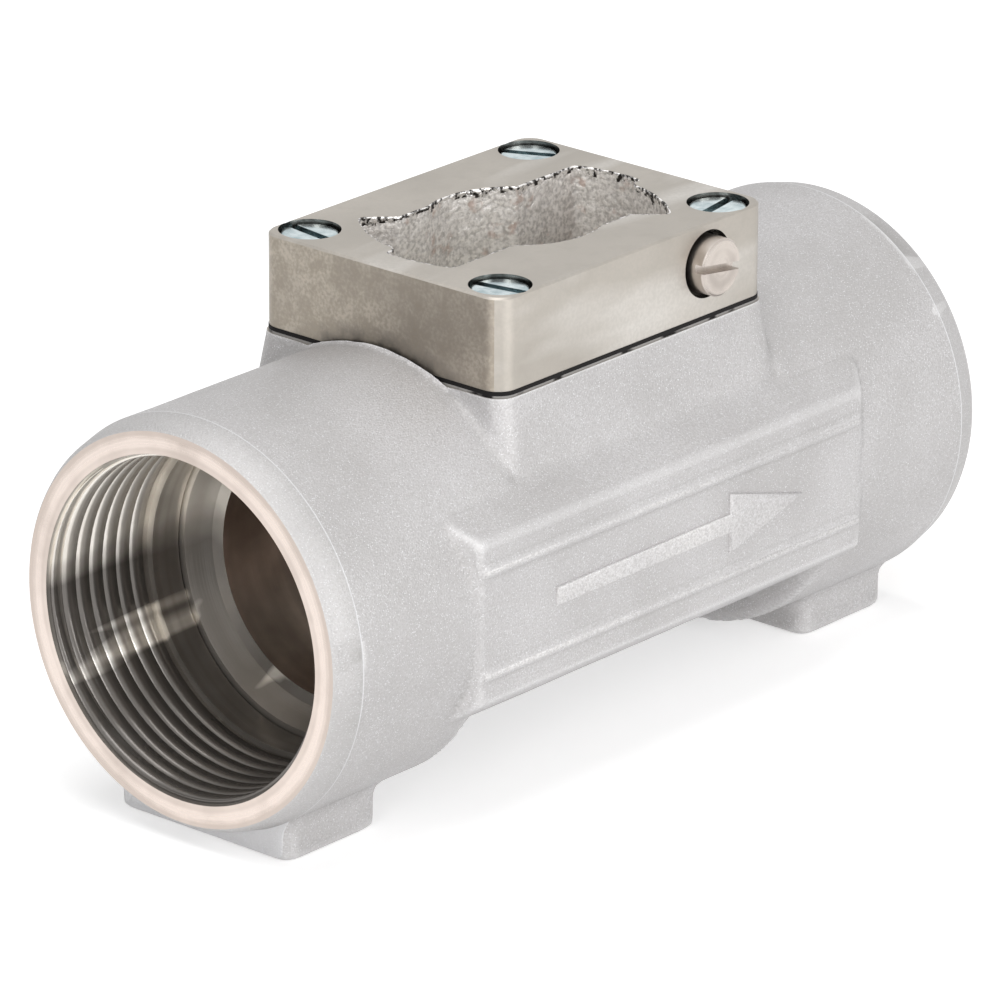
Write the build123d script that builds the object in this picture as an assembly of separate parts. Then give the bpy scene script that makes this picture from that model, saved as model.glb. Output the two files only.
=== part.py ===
from build123d import *
import os
from math import cos, radians, sin, sqrt, tan

# In-line paddle-wheel flow sensor fitting in cast stainless steel, millimetres.
# The pipe runs along X with the inlet at -X, the feet stand on Z = 0 and the sensor axis is Z.
# Everything is modelled about the middle of the pipe axis and raised onto its feet when it is written.

# Pipe body
pipe_length = 119.0
barrel_radius = 25.4
barrel_length = 27.0
bevel_length = 2.5
end_face_radius = 24.1
rim_rounding = 1.2

# Pipe threads (parallel inch thread, nominal 1 1/4) and the flow passage
thread_radius = 20.955
thread_depth = 17.0
lead_in_radius = 21.5
lead_in_depth = 1.2
relief_radius = 20.1
relief_length = 4.5
relief_groove_width = 0.35
relief_groove_depth = 0.35
seat_radius = 19.4
seat_end_radius = 17.4
seat_length = 2.7
seat_chamfer = 0.4
flow_radius = 16.0

# Waist with its two flat side panels
waist_radius = 22.0
panel_length = 71.0
panel_height = 20.4
panel_reach = 25.6
panel_rounding = 0.8
panel_flare = 2.0
panel_flare_depth = 2.6
shoulder_slope = 37.0
underside_slope = 33.0
rib_pitch = 13.0
rib_width = 0.8
rib_height = 0.4

# Neck under the flange
neck_sink = 2.0
neck_overhang = 0.2
neck_draft_along = 0.9
neck_draft_across = 1.7
neck_draft_drop = 10.0
neck_blend = 3.2
pocket_gap = 0.25
blend_inset = 0.03
blend_steps = 8

# Feet
foot_drop = 1.6
foot_length = 16.2
foot_width = 27.4
foot_end_setback = 3.6
foot_corner = 2.0
foot_blend = 1.6
foot_edge = 0.8

# Bayonet flange
flange_length = 49.0
flange_width = 38.0
flange_thickness = 11.6
flange_corner = 2.6
flange_edge = 0.25
opening_radius = 11.0
lobe_radius = 20.6
lobe_low_radius = 18.8
lobe_start = -47.0
lobe_step = -8.0
lobe_flat = 7.1
lobe_shelf = 10.2
lobe_corner = 0.9
lobe_root = 0.4

# Gasket
gasket_thickness = 0.8
gasket_overhang = 0.05
gasket_margin = 0.4

# Cheese-head screws that hold the flange
screw_pitch_along = 40.0
screw_pitch_across = 30.0
screw_size = 4.0
screw_head_diameter = 7.0
screw_head_height = 2.6
screw_head_edge = 0.3
screw_length = 16.0
screw_slot_width = 1.2
screw_slot_depth = 1.1
screw_seat_diameter = 7.6
screw_seat_depth = 3.0
screw_hole_clearance = 0.25
tap_spare_depth = 1.5
thread_clearance = 0.03
screw_turns = (-79.0, 82.0, 10.0, -64.0)

# Locking screw in the side of the flange
lock_position = 13.4
lock_height = 30.6
lock_size = 4.0
lock_head_diameter = 7.2
lock_head_height = 4.2
lock_head_proud = 2.2
lock_head_edge = 0.3
lock_slot_width = 1.0
lock_slot_depth = 1.3
lock_slot_tilt = 8.0
lock_recess_diameter = 8.5
lock_travel = 1.8
lock_stop_gap = 0.1
lock_tip_setback = 0.3

# Sensor holder
socket_radius = 11.0
collar_radius = 14.3
collar_thickness = 3.0
collar_clearance = 0.15
stem_clearance = 0.1
stem_depth = 9.2
well_radius = 7.5
well_depth = 7.7
groove_top = 4.6
groove_height = 2.2
o_ring_section = 1.96
locating_pin_radius = 1.0
locating_pin_length = 5.0
locating_pin_place = 12.8
locating_pin_depth = 2.5
pin_clearance = 0.05

# Paddle wheel and its bearings
wheel_drop = 17.4
wheel_width = 9.6
hub_radius = 2.6
blade_count = 4
blade_thickness = 1.5
magnet_circle = 5.1
magnet_radius = 1.2
magnet_length = 8.0
magnet_wall = 0.5
axle_radius = 1.0
axle_clearance = 0.04
axle_end_gap = 0.2
wheel_side_gap = 0.4
bush_radius = 2.0
bush_length = 2.8
plug_radius = 2.6
plug_thickness = 1.1
plug_slot_width = 0.7
plug_slot_depth = 0.5
arm_half_width = 4.2
arm_tip_radius = 4.2

# Gap round what is pressed or glued in, and how closely an edge is looked for by its place
snug_gap = 0.02
touch = 0.01

# Worked out from the sizes above
half_length = pipe_length / 2
axis_height = barrel_radius + foot_drop
neck_height = barrel_radius - neck_sink
barrel_start = half_length - barrel_length
flange_bottom = neck_height + gasket_thickness
flange_top = flange_bottom + flange_thickness
beyond = 4 * barrel_radius
neck_length = flange_length + 2 * neck_overhang
neck_width = flange_width + 2 * neck_overhang
pocket_half = neck_length / 2 + pocket_gap
screw_places = [
    (side_x * screw_pitch_along / 2, side_y * screw_pitch_across / 2)
    for side_x in (-1, 1)
    for side_y in (-1, 1)
]
screw_seat = flange_top - screw_seat_depth
collar_seat = neck_height - collar_thickness
stem_bottom = neck_height - stem_depth
stem_radius = socket_radius - stem_clearance
o_ring_centre = socket_radius - snug_gap - o_ring_section / 2
groove_radius = o_ring_centre - o_ring_section / 2 - snug_gap
wheel_height = neck_height - wheel_drop
bead_radius = magnet_radius + magnet_wall
arm_inside = wheel_width / 2 + wheel_side_gap
plug_inside = arm_inside + bush_length
arm_outside = plug_inside + plug_thickness


def along_x(radius, start, end):
    """A round bar on the pipe axis."""
    return Pos((start + end) / 2, 0, 0) * Rot(0, 90, 0) * Cylinder(radius, end - start)


def along_y(radius, start, end, x=0.0, z=0.0):
    """A round bar across the pipe."""
    return Pos(x, (start + end) / 2, z) * Rot(90, 0, 0) * Cylinder(radius, end - start)


def upright(radius, bottom, top, x=0.0, y=0.0):
    """A round bar that stands upright."""
    return Pos(x, y, (bottom + top) / 2) * Cylinder(radius, top - bottom)


def both_ends(shape):
    """The shape and its mirror image at the other pipe end."""
    return [shape, mirror(shape, Plane.YZ)]


def turned(points):
    """A solid turned about the pipe axis from points given as place along the axis and radius."""
    outline = make_face(Polyline([(x, 0, r) for x, r in points], close=True))
    return revolve(outline, Axis.X)


def pipe_bar():
    """The outside of the whole pipe, bevelled towards its two machined end faces."""
    bevel_start = half_length - bevel_length
    return turned([
        (-half_length, 0),
        (-half_length, end_face_radius),
        (-bevel_start, barrel_radius),
        (bevel_start, barrel_radius),
        (half_length, end_face_radius),
        (half_length, 0),
    ])


def foot(bar):
    """One foot, blended into the bar that it stands under."""
    middle = half_length - foot_end_setback - foot_length / 2
    height = axis_height - flow_radius
    block = extrude(RectangleRounded(foot_length, foot_width, foot_corner), height)
    block = fillet(block.faces().sort_by(Axis.Z)[0].edges(), foot_edge)
    block = Pos(middle, 0, -axis_height) * block
    joined = bar + block
    return fillet(new_edges(bar, block, combined=joined), foot_blend)


def pipe_on_feet():
    """The pipe with both feet, made as one half and mirrored."""
    half = pipe_bar() & Pos(half_length, 0, 0) * Box(pipe_length, beyond, beyond)
    half = foot(half)
    return half + mirror(half, Plane.YZ)


def ring_around_waist(half_width, rounding):
    """What lies outside the waist between two barrel rims, each rounded."""
    outside = 2 * barrel_radius
    rim = half_width + rounding
    corner = barrel_radius - rounding
    right = Line((half_width, waist_radius), (half_width, corner))
    bend = CenterArc((rim, corner), rounding, 90, 90)
    up = Line((rim, barrel_radius), (rim, outside))
    over = Line((rim, outside), (-rim, outside))
    down = Line((-rim, outside), (-rim, barrel_radius))
    turn = CenterArc((-rim, corner), rounding, 0, 90)
    left = Line((-half_width, corner), (-half_width, waist_radius))
    under = Line((-half_width, waist_radius), (half_width, waist_radius))
    profile = make_face([right, bend, up, over, down, turn, left, under])
    return Plane.XZ * profile


def waist_cuts():
    """The rings cut away round the waist: all round under the flange, and only below beside it."""
    upper = revolve(ring_around_waist(pocket_half, pocket_gap / 2), Axis.X)
    lower = revolve(ring_around_waist(barrel_start, rim_rounding), Axis.X)
    lower = lower & Pos(0, 0, -beyond / 2) * Box(beyond, beyond, beyond)
    return [upper, lower]


def shoulder_level(y):
    """Height of the sloped shoulder above the pipe axis at a distance across the pipe."""
    return panel_height / 2 + (panel_reach - y) * tan(radians(shoulder_slope))


def neck_side(z):
    """Distance of the drafted neck's side from the middle at a height."""
    return neck_width / 2 + (neck_height - z) * neck_draft_across / neck_draft_drop


def panel_block():
    """The waist's slab with a flat panel on each side, sloped above and below."""
    half_height = panel_height / 2
    shoulder_top = neck_width / 2
    under_end = waist_radius / 2
    under_drop = (panel_reach - under_end) * tan(radians(underside_slope))
    right = [
        (under_end, -half_height - under_drop),
        (panel_reach, -half_height),
        (panel_reach, half_height),
        (shoulder_top, shoulder_level(shoulder_top)),
    ]
    left = [(-y, z) for y, z in reversed(right)]
    face = Plane.YZ * make_face(Polyline(right + left, close=True))
    slab = extrude(face, panel_length / 2 + panel_flare, both=True)
    slab = slab & panel_plan()
    outer = slab.edges().filter_by(lambda e: abs(e.center().Y) > panel_reach - touch)
    return fillet(outer, panel_rounding)


def panel_plan():
    """The slab seen from above: its ends flare towards the barrels."""
    end = panel_length / 2
    base = panel_reach - panel_flare_depth
    right = [(end + panel_flare, -base), (end, -panel_reach), (-end, -panel_reach), (-end - panel_flare, -base)]
    left = [(-x, -y) for x, y in right]
    return Pos(0, 0, -beyond / 2) * extrude(make_face(Polyline(right + left, close=True)), beyond)


def panel_ribs():
    """Two raised lines along each side panel."""
    length = panel_length - panel_rounding
    ribs = []
    for side in (-1, 1):
        for level in (-1, 1):
            rib = Box(length, 2 * rib_height, rib_width)
            ribs.append(Pos(0, side * panel_reach, level * rib_pitch / 2) * rib)
    return ribs


def neck():
    """The drafted block under the flange, wider towards the waist."""
    top = Pos(0, 0, neck_height) * RectangleRounded(neck_length, neck_width, flange_corner)
    low_length = neck_length + 2 * neck_draft_along
    low_width = neck_width + 2 * neck_draft_across
    low = Pos(0, 0, neck_height - neck_draft_drop) * RectangleRounded(low_length, low_width, flange_corner)
    return loft([low, top])


def neck_fillet():
    """The hollow curve between the neck's sides and the shoulders."""
    inside = blend_inset
    top = neck_height - neck_blend
    foot_y = neck_width / 2
    for step in range(blend_steps):
        foot_y = neck_side(shoulder_level(foot_y))
    corner = (foot_y - inside, shoulder_level(foot_y) - inside)
    low = foot_y + neck_blend * tan(radians((90 - shoulder_slope) / 2))
    right = [
        (low - inside, 0),
        (low - inside, shoulder_level(low) - inside),
        corner,
        (neck_side(top) - inside, top),
    ]
    left = [(-y, z) for y, z in reversed(right)]
    section = make_face(Polyline(right + left, close=True))
    hollow = section.vertices().filter_by(lambda v: abs(v.Y - corner[1]) < inside / 2)
    section = fillet(hollow, neck_blend)
    return extrude(Plane.YZ * section, neck_length / 2 - flange_corner, both=True)


def body_blank():
    """The casting before machining."""
    blank = pipe_on_feet()
    for ring in waist_cuts():
        blank = blank - ring
    blank = blank + (panel_block() + neck() + neck_fillet())
    for rib in panel_ribs():
        blank = blank + rib
    return blank


def pipe_bore():
    """What the machining takes out of one pipe end, from the mouth to the flow passage."""
    face = half_length
    thread_end = face - thread_depth
    relief_end = thread_end - relief_length
    groove_end = relief_end - relief_groove_width
    seat_end = groove_end - seat_length
    return turned([
        (face, 0),
        (face, lead_in_radius),
        (face - lead_in_depth, thread_radius),
        (thread_end, thread_radius),
        (thread_end, relief_radius),
        (relief_end, relief_radius),
        (relief_end, relief_radius + relief_groove_depth),
        (groove_end, relief_radius + relief_groove_depth),
        (groove_end, seat_radius),
        (seat_end, seat_end_radius),
        (seat_end - seat_chamfer, flow_radius),
        (seat_end - seat_chamfer, 0),
    ])


def sensor_socket():
    """The upright hole for the sensor holder, with its seat, and the hole of the locating pin."""
    bore = upright(socket_radius, 0, neck_height)
    seat = upright(collar_radius + collar_clearance, collar_seat, neck_height)
    pin = upright(locating_pin_radius, collar_seat - locating_pin_depth, collar_seat, -locating_pin_place)
    return [bore, seat, pin]


def tapped_holes():
    """The four holes in the neck for the flange screws."""
    bottom = screw_seat - screw_length - tap_spare_depth
    return [upright(screw_size / 2, bottom, neck_height, x, y) for x, y in screw_places]


def fitting_body():
    """The cast and machined pipe body."""
    body = body_blank() - along_x(flow_radius, -half_length, half_length)
    for cut in both_ends(pipe_bore()) + sensor_socket() + tapped_holes():
        body = body - cut
    return body


def wedge(start):
    """The sector that a lobe fills, from an angle in degrees up to the flat side."""
    way = radians(start)
    corners = [(0, 0), (beyond * cos(way), beyond * sin(way)), (beyond, lobe_flat), (0, lobe_flat)]
    return make_face(Polyline(corners, close=True))


def bayonet_opening(margin=0.0):
    """Outline of the opening: a round middle and two stepped lobes half a turn apart."""
    shelf = Pos(lobe_shelf / 2, -lobe_shelf / 2) * Rectangle(lobe_shelf, lobe_shelf)
    low = Circle(lobe_low_radius) & wedge(lobe_start)
    lobe = low + shelf + (Circle(lobe_radius) & wedge(lobe_step))
    outline = Circle(opening_radius) + lobe + Rot(0, 0, 180) * lobe
    between = (opening_radius + lobe_radius) / 2
    far = outline.vertices().filter_by(lambda v: sqrt(v.X ** 2 + v.Y ** 2) > between)
    outline = fillet(far, lobe_corner)
    near = outline.vertices().filter_by(lambda v: sqrt(v.X ** 2 + v.Y ** 2) < opening_radius + touch)
    outline = fillet(near, lobe_root)
    if margin:
        outline = offset(outline, margin)
    return outline


def flange_gasket():
    """The flat black gasket between the neck and the flange."""
    length = flange_length + 2 * gasket_overhang
    width = flange_width + 2 * gasket_overhang
    sheet = RectangleRounded(length, width, flange_corner) - bayonet_opening(gasket_margin)
    gasket = Pos(0, 0, neck_height) * extrude(sheet, gasket_thickness)
    for x, y in screw_places:
        gasket = gasket - upright(screw_size / 2 + screw_hole_clearance, neck_height, flange_bottom, x, y)
    return gasket


def lock_bore():
    """The recess and the tapped hole of the locking screw, from outside the flange to the opening."""
    outside = -flange_width / 2
    floor = lock_recess_floor()
    recess = along_y(lock_recess_diameter / 2, outside, floor, lock_position, lock_height)
    hole = along_y(lock_size / 2, floor, 0, lock_position, lock_height)
    return [recess, hole]


def lock_recess_floor():
    """Where the locking screw's head would stop, across the pipe."""
    head_back = -flange_width / 2 - lock_head_proud + lock_head_height
    return head_back + lock_travel + lock_stop_gap


def lobe_wall():
    """Where the opening's wall crosses the locking screw's axis, across the pipe."""
    start = radians(lobe_start)
    on_side = lock_position * sin(start) / cos(start)
    on_arc = -sqrt(lobe_low_radius ** 2 - lock_position ** 2)
    return max(on_side, on_arc)


def bayonet_flange():
    """The machined block with the bayonet opening, held by four screws."""
    block = extrude(RectangleRounded(flange_length, flange_width, flange_corner), flange_thickness)
    block = chamfer(block.faces().sort_by(Axis.Z)[-1].edges(), flange_edge)
    block = block - extrude(bayonet_opening(), flange_thickness)
    block = Pos(0, 0, flange_bottom) * block
    for x, y in screw_places:
        block = block - upright(screw_seat_diameter / 2, screw_seat, flange_top, x, y)
        block = block - upright(screw_size / 2 + screw_hole_clearance, flange_bottom, screw_seat, x, y)
    for cut in lock_bore():
        block = block - cut
    return block


def flange_screw(x, y, turn):
    """One slotted cheese-head screw."""
    head = upright(screw_head_diameter / 2, 0, screw_head_height)
    head = chamfer(head.faces().sort_by(Axis.Z)[-1].edges(), screw_head_edge)
    shank = upright(screw_size / 2 - thread_clearance, -screw_length, 0)
    slot_middle = screw_head_height - screw_slot_depth / 2
    slot = Pos(0, 0, slot_middle) * Box(2 * screw_head_diameter, screw_slot_width, screw_slot_depth)
    return Pos(x, y, screw_seat) * Rot(0, 0, turn) * (head + shank - slot)


def locking_screw():
    """The turned screw that holds the mating bayonet ring, drawn loosened."""
    face = -flange_width / 2 - lock_head_proud
    head = along_y(lock_head_diameter / 2, face, face + lock_head_height)
    head = chamfer(head.faces().sort_by(Axis.Y)[0].edges(), lock_head_edge)
    tip = lobe_wall() - lock_tip_setback
    shank = along_y(lock_size / 2 - thread_clearance, face + lock_head_height, tip)
    slot = Pos(0, face + lock_slot_depth / 2, 0) * Box(2 * lock_head_diameter, lock_slot_depth, lock_slot_width)
    screw = head + shank - Rot(0, lock_slot_tilt, 0) * slot
    return Pos(lock_position, 0, lock_height) * screw


def holder_arm():
    """One arm of the fork that carries the wheel, on the +Y side."""
    drop = stem_bottom - wheel_height
    plate = Pos(0, drop / 2) * Rectangle(2 * arm_half_width, drop) + Circle(arm_tip_radius)
    arm = Plane.XZ * extrude(plate, arm_outside - arm_inside)
    arm = Pos(0, arm_outside, wheel_height) * arm
    arm = arm - along_y(bush_radius + snug_gap, arm_inside, plug_inside, 0, wheel_height)
    return arm - along_y(plug_radius + snug_gap, plug_inside, arm_outside, 0, wheel_height)


def sensor_holder():
    """The plastic cup with a dry well above and the wheel's fork below."""
    holder = upright(collar_radius, collar_seat, neck_height)
    holder = holder + upright(stem_radius, stem_bottom, collar_seat)
    ring_top = neck_height - groove_top
    groove = upright(socket_radius, ring_top - groove_height, ring_top)
    groove = groove - upright(groove_radius, ring_top - groove_height, ring_top)
    holder = holder - groove
    for arm in (holder_arm(), mirror(holder_arm(), Plane.XZ)):
        holder = holder + arm
    holder = holder - upright(well_radius, neck_height - well_depth, neck_height)
    notch = locating_pin_radius + pin_clearance
    slot = upright(notch, collar_seat, neck_height, -locating_pin_place)
    mouth_middle = (locating_pin_place + collar_radius) / 2 + notch / 2
    mouth = Box(collar_radius - locating_pin_place + notch, 2 * notch, collar_thickness)
    mouth = Pos(-mouth_middle, 0, collar_seat + collar_thickness / 2) * mouth
    return holder - slot - mouth


def holder_o_ring():
    """The ring that seals the stem in its socket."""
    middle = neck_height - groove_top - groove_height / 2
    return Pos(0, 0, middle) * Torus(o_ring_centre, o_ring_section / 2)


def locating_pin():
    """The pin that keeps the wheel square to the flow."""
    bottom = collar_seat - locating_pin_depth
    radius = locating_pin_radius - snug_gap
    return upright(radius, bottom, bottom + locating_pin_length, -locating_pin_place)


def magnet_angles():
    """The directions from the axle to the magnets, in degrees."""
    step = 360 / blade_count
    return [step * (number + 0.5) for number in range(blade_count)]


def magnet_place(angle):
    """Where one magnet sits, along the pipe and above the axle."""
    return magnet_circle * cos(radians(angle)), magnet_circle * sin(radians(angle))


def paddle_wheel():
    """The wheel: a hub and flat paddles, each with a bead for its magnet."""
    half = wheel_width / 2
    blade = Pos(magnet_circle / 2, 0, 0) * Box(magnet_circle, wheel_width, blade_thickness)
    wheel = along_y(hub_radius, -half, half)
    for angle in magnet_angles():
        wheel = wheel + Rot(0, -angle, 0) * blade
        wheel = wheel + along_y(bead_radius, -half, half, *magnet_place(angle))
    for angle in magnet_angles():
        wheel = wheel - along_y(magnet_radius, half - magnet_length, half, *magnet_place(angle))
    wheel = wheel - along_y(axle_radius, -half, half)
    return Pos(0, 0, wheel_height) * wheel


def paddle_magnet(angle):
    """One rod magnet in its paddle."""
    half = wheel_width / 2
    magnet = along_y(magnet_radius - snug_gap, half - magnet_length, half, *magnet_place(angle))
    return Pos(0, 0, wheel_height) * magnet


def paddle_axle():
    """The axle, which turns with the wheel."""
    end = plug_inside - axle_end_gap
    return along_y(axle_radius - snug_gap, -end, end, 0, wheel_height)


def bearing_bush(side):
    """One bearing bush in the fork."""
    hole = axle_radius - snug_gap + axle_clearance
    ring = along_y(bush_radius, arm_inside, plug_inside, 0, wheel_height)
    ring = ring - along_y(hole, arm_inside, plug_inside, 0, wheel_height)
    return ring if side > 0 else mirror(ring, Plane.XZ)


def bearing_plug(side):
    """One slotted plug that keeps a bush in the fork."""
    plug = along_y(plug_radius, plug_inside, arm_outside, 0, wheel_height)
    slot = Box(3 * plug_radius, plug_slot_depth, plug_slot_width)
    plug = plug - Pos(0, arm_outside - plug_slot_depth / 2, wheel_height) * slot
    return plug if side > 0 else mirror(plug, Plane.XZ)


def write(name, shape):
    """Writes one named piece, raised onto its feet."""
    shape = Pos(0, 0, axis_height) * shape
    solids = shape.solids()
    whole = solids[0] if len(solids) == 1 else Compound(children=list(solids))
    export_step(whole, os.path.join("parts", name + ".step"))


def main():
    os.makedirs("parts", exist_ok=True)
    write("fitting_body", fitting_body())
    write("flange_gasket", flange_gasket())
    write("bayonet_flange", bayonet_flange())
    for number, ((x, y), turn) in enumerate(zip(screw_places, screw_turns), 1):
        write(f"flange_screw_{number}", flange_screw(x, y, turn))
    write("locking_screw", locking_screw())
    write("sensor_holder", sensor_holder())
    write("holder_o_ring", holder_o_ring())
    write("locating_pin", locating_pin())
    write("paddle_wheel", paddle_wheel())
    for number, angle in enumerate(magnet_angles(), 1):
        write(f"paddle_magnet_{number}", paddle_magnet(angle))
    write("paddle_axle", paddle_axle())
    write("bearing_bush_left", bearing_bush(-1))
    write("bearing_bush_right", bearing_bush(1))
    write("bearing_plug_left", bearing_plug(-1))
    write("bearing_plug_right", bearing_plug(1))


main()
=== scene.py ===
# %% [markdown]
# # A stainless flow sensor fitting
# This notebook dresses a pipe fitting that holds a paddle-wheel flow sensor. The fitting is a
# blasted steel casting, with a machined block screwed on top of it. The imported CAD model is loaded
# first and is never moved. It could simply be coloured, but its fillets are plain and its opening is
# cleanly cut. So the pieces that need softer or rougher shapes are modelled again in the same place,
# and the others keep their shape and get a finish.

# %% Load the frame
from math import cos, hypot, pi, radians, sin

import bmesh
import bpy
from mathutils import Matrix, Vector, noise


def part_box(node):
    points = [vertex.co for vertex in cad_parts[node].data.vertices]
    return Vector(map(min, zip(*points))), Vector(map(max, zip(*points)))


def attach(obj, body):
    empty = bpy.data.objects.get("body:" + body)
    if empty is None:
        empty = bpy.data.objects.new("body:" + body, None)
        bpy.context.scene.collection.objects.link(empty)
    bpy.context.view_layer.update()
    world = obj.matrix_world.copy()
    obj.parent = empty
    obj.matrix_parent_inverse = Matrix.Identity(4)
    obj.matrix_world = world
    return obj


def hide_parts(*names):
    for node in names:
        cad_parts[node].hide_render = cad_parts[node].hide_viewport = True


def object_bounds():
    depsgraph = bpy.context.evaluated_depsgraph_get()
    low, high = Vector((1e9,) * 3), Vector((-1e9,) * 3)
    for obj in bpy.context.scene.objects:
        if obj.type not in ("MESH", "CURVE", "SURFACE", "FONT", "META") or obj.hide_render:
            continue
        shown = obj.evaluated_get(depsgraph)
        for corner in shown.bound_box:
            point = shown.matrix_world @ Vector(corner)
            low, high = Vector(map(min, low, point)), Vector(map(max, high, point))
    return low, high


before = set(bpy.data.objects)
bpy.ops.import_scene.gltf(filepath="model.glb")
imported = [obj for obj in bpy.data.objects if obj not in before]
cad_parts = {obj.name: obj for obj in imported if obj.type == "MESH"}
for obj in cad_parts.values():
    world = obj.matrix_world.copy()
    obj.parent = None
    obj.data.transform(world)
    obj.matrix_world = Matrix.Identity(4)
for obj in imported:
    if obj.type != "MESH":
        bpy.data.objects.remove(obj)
cad_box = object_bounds()
MM = 0.001
print("CAD box in mm:", [[round(v / MM, 1) for v in corner] for corner in cad_box])

# %% [markdown]
# ## Camera
# The camera stands about a metre away, to the left and in front, and looks a little down. It could
# stand close with a short lens, but then the near pipe end would look swollen. From far off, a long
# lens keeps the two pipe ends nearly the same size, as in a catalogue picture.

# %% Camera
camera_place = (-0.71780, -0.61713, 0.38524)
camera_turn = (69.2247, -0.2496, -49.1347)
camera_lens = 299.40
sensor_width = 36


def new_object(name, data):
    """A new object in the scene, at the origin."""
    made = bpy.data.objects.new(name, data)
    bpy.context.scene.collection.objects.link(made)
    return made


camera_data = bpy.data.cameras.new("catalogue_camera")
camera_data.sensor_width = sensor_width
camera_data.lens = camera_lens
camera = new_object("catalogue_camera", camera_data)
camera.location = camera_place
camera.rotation_euler = [radians(angle) for angle in camera_turn]
bpy.context.scene.camera = camera
print("Camera to sensor axis in mm:", round(Vector(camera_place).length / MM))

# %% [markdown]
# ## Node helpers
# The world, the floor and every finish are graphs of nodes. They could be drawn by hand in the shader
# editor, but a script can be read, run again and changed in one place. Each helper adds one node and
# gives back its output, so that a graph reads like a sum. The same few serve Geometry Nodes later.

# %% Node helpers
def feed(tree, socket, value):
    """Sets a plain number or colour on a socket, or links another socket to it."""
    if isinstance(value, (int, float, tuple)):
        socket.default_value = value
    else:
        tree.links.new(value, socket)


def feed_named(tree, node, values):
    """Feeds a node's inputs by name; an underscore stands for a space."""
    for label, value in values.items():
        feed(tree, node.inputs[label.replace("_", " ")], value)
    return node


def add_node(tree, kind, **values):
    """A new node of a kind, with its inputs fed by name."""
    return feed_named(tree, tree.nodes.new(kind), values)


def math_node(tree, operation, *values):
    """The result of a math node on sockets or numbers."""
    node = tree.nodes.new("ShaderNodeMath")
    node.operation = operation
    for slot, value in enumerate(values):
        feed(tree, node.inputs[slot], value)
    return node.outputs[0]


def ramp_mask(tree, value, low, high):
    """A mask that rises from nothing at low to one at high."""
    node = add_node(tree, "ShaderNodeMapRange", Value=value, From_Min=low, From_Max=high)
    return node.outputs["Result"]


def mixed_value(tree, mask, low, high):
    """A number that is low where the mask is nothing and high where it is one."""
    node = add_node(tree, "ShaderNodeMapRange", Value=mask, To_Min=low, To_Max=high)
    return node.outputs["Result"]


print("Node helpers: 6")

# %% [markdown]
# ## White tent
# Steel shows what stands round it, so a catalogue picture of steel is taken in a tent of white cloth.
# The tent could be built as walls, but a white world does the same with no mesh. It is fully white to
# the camera, in mirrors and through glass, and dimmer as a light, so that the pale casting keeps its
# tone.

# %% World
bpy.context.scene.view_settings.view_transform = "Standard"
world_light = 0.42
world_white = (1, 1, 1, 1)


def seen_ray(tree):
    """One for rays from the camera, from a mirror or through glass, else nothing."""
    path = tree.nodes.new("ShaderNodeLightPath").outputs
    seen = math_node(tree, "MAXIMUM", path["Is Camera Ray"], path["Is Glossy Ray"])
    return math_node(tree, "MAXIMUM", seen, path["Is Transmission Ray"])


def new_world():
    """White to look at and in reflections, and a soft grey as a light."""
    world = bpy.data.worlds.new("white_tent")
    world.use_nodes = True
    tree = world.node_tree
    tree.nodes.clear()
    strength = mixed_value(tree, seen_ray(tree), world_light, 1.0)
    background = add_node(tree, "ShaderNodeBackground", Color=world_white, Strength=strength)
    add_node(tree, "ShaderNodeOutputWorld", Surface=background.outputs[0])
    return world


bpy.context.scene.world = new_world()
print("World strength as a light:", world_light)

# %% [markdown]
# ## Soft lamps
# Three square lamps stand for a studio's softboxes: one above, one in front and one on the left. Small
# lamps would throw hard shadows and sharp sparks, and one large lamp would leave the steel flat. Three
# soft ones of different strength give the top, the front and the pipe's end each a tone of its own.

# %% Lamps
lamp_aim = Vector((0, 0, 0.03))


def new_lamp(name, place, size, power):
    """A soft square lamp that faces the fitting."""
    data = bpy.data.lights.new(name, "AREA")
    data.shape = "SQUARE"
    data.size = size
    data.energy = power
    lamp = new_object(name, data)
    lamp.location = place
    lamp.rotation_mode = "QUATERNION"
    lamp.rotation_quaternion = (lamp_aim - Vector(place)).to_track_quat("-Z", "Y")


new_lamp("top_softbox", (-0.15, 0.0, 0.95), 0.7, 4.2)
new_lamp("front_softbox", (0.0, -1.0, 0.22), 0.6, 5.2)
new_lamp("left_softbox", (-0.95, -0.30, 0.22), 0.4, 2.4)

# %% [markdown]
# ## Dark card
# In a white tent, bright steel has nothing dark to mirror and turns milky, so a photographer stands a
# black card beside it. It could be a dark patch in the world, but a card shows only where the steel
# faces it.

# %% Dark card
card_place = Vector((-0.30, 0.22, 0.13))
card_aim = Vector((0, 0, 0.04))
card_wide, card_high = 0.34, 0.25
card_colour = (0.03, 0.028, 0.027, 1)


def new_material(name):
    """A material with a Principled shader; gives the material, its tree and its shader."""
    material = bpy.data.materials.new(name)
    material.use_nodes = True
    tree = material.node_tree
    return material, tree, tree.nodes["Principled BSDF"]


def rectangle(name, wide, high, material):
    """A flat mesh of one face about the origin."""
    x, y = wide / 2, high / 2
    mesh = bpy.data.meshes.new(name)
    mesh.from_pydata([(-x, -y, 0), (x, -y, 0), (x, y, 0), (-x, y, 0)], [], [(0, 1, 2, 3)])
    mesh.materials.append(material)
    return mesh


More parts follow.
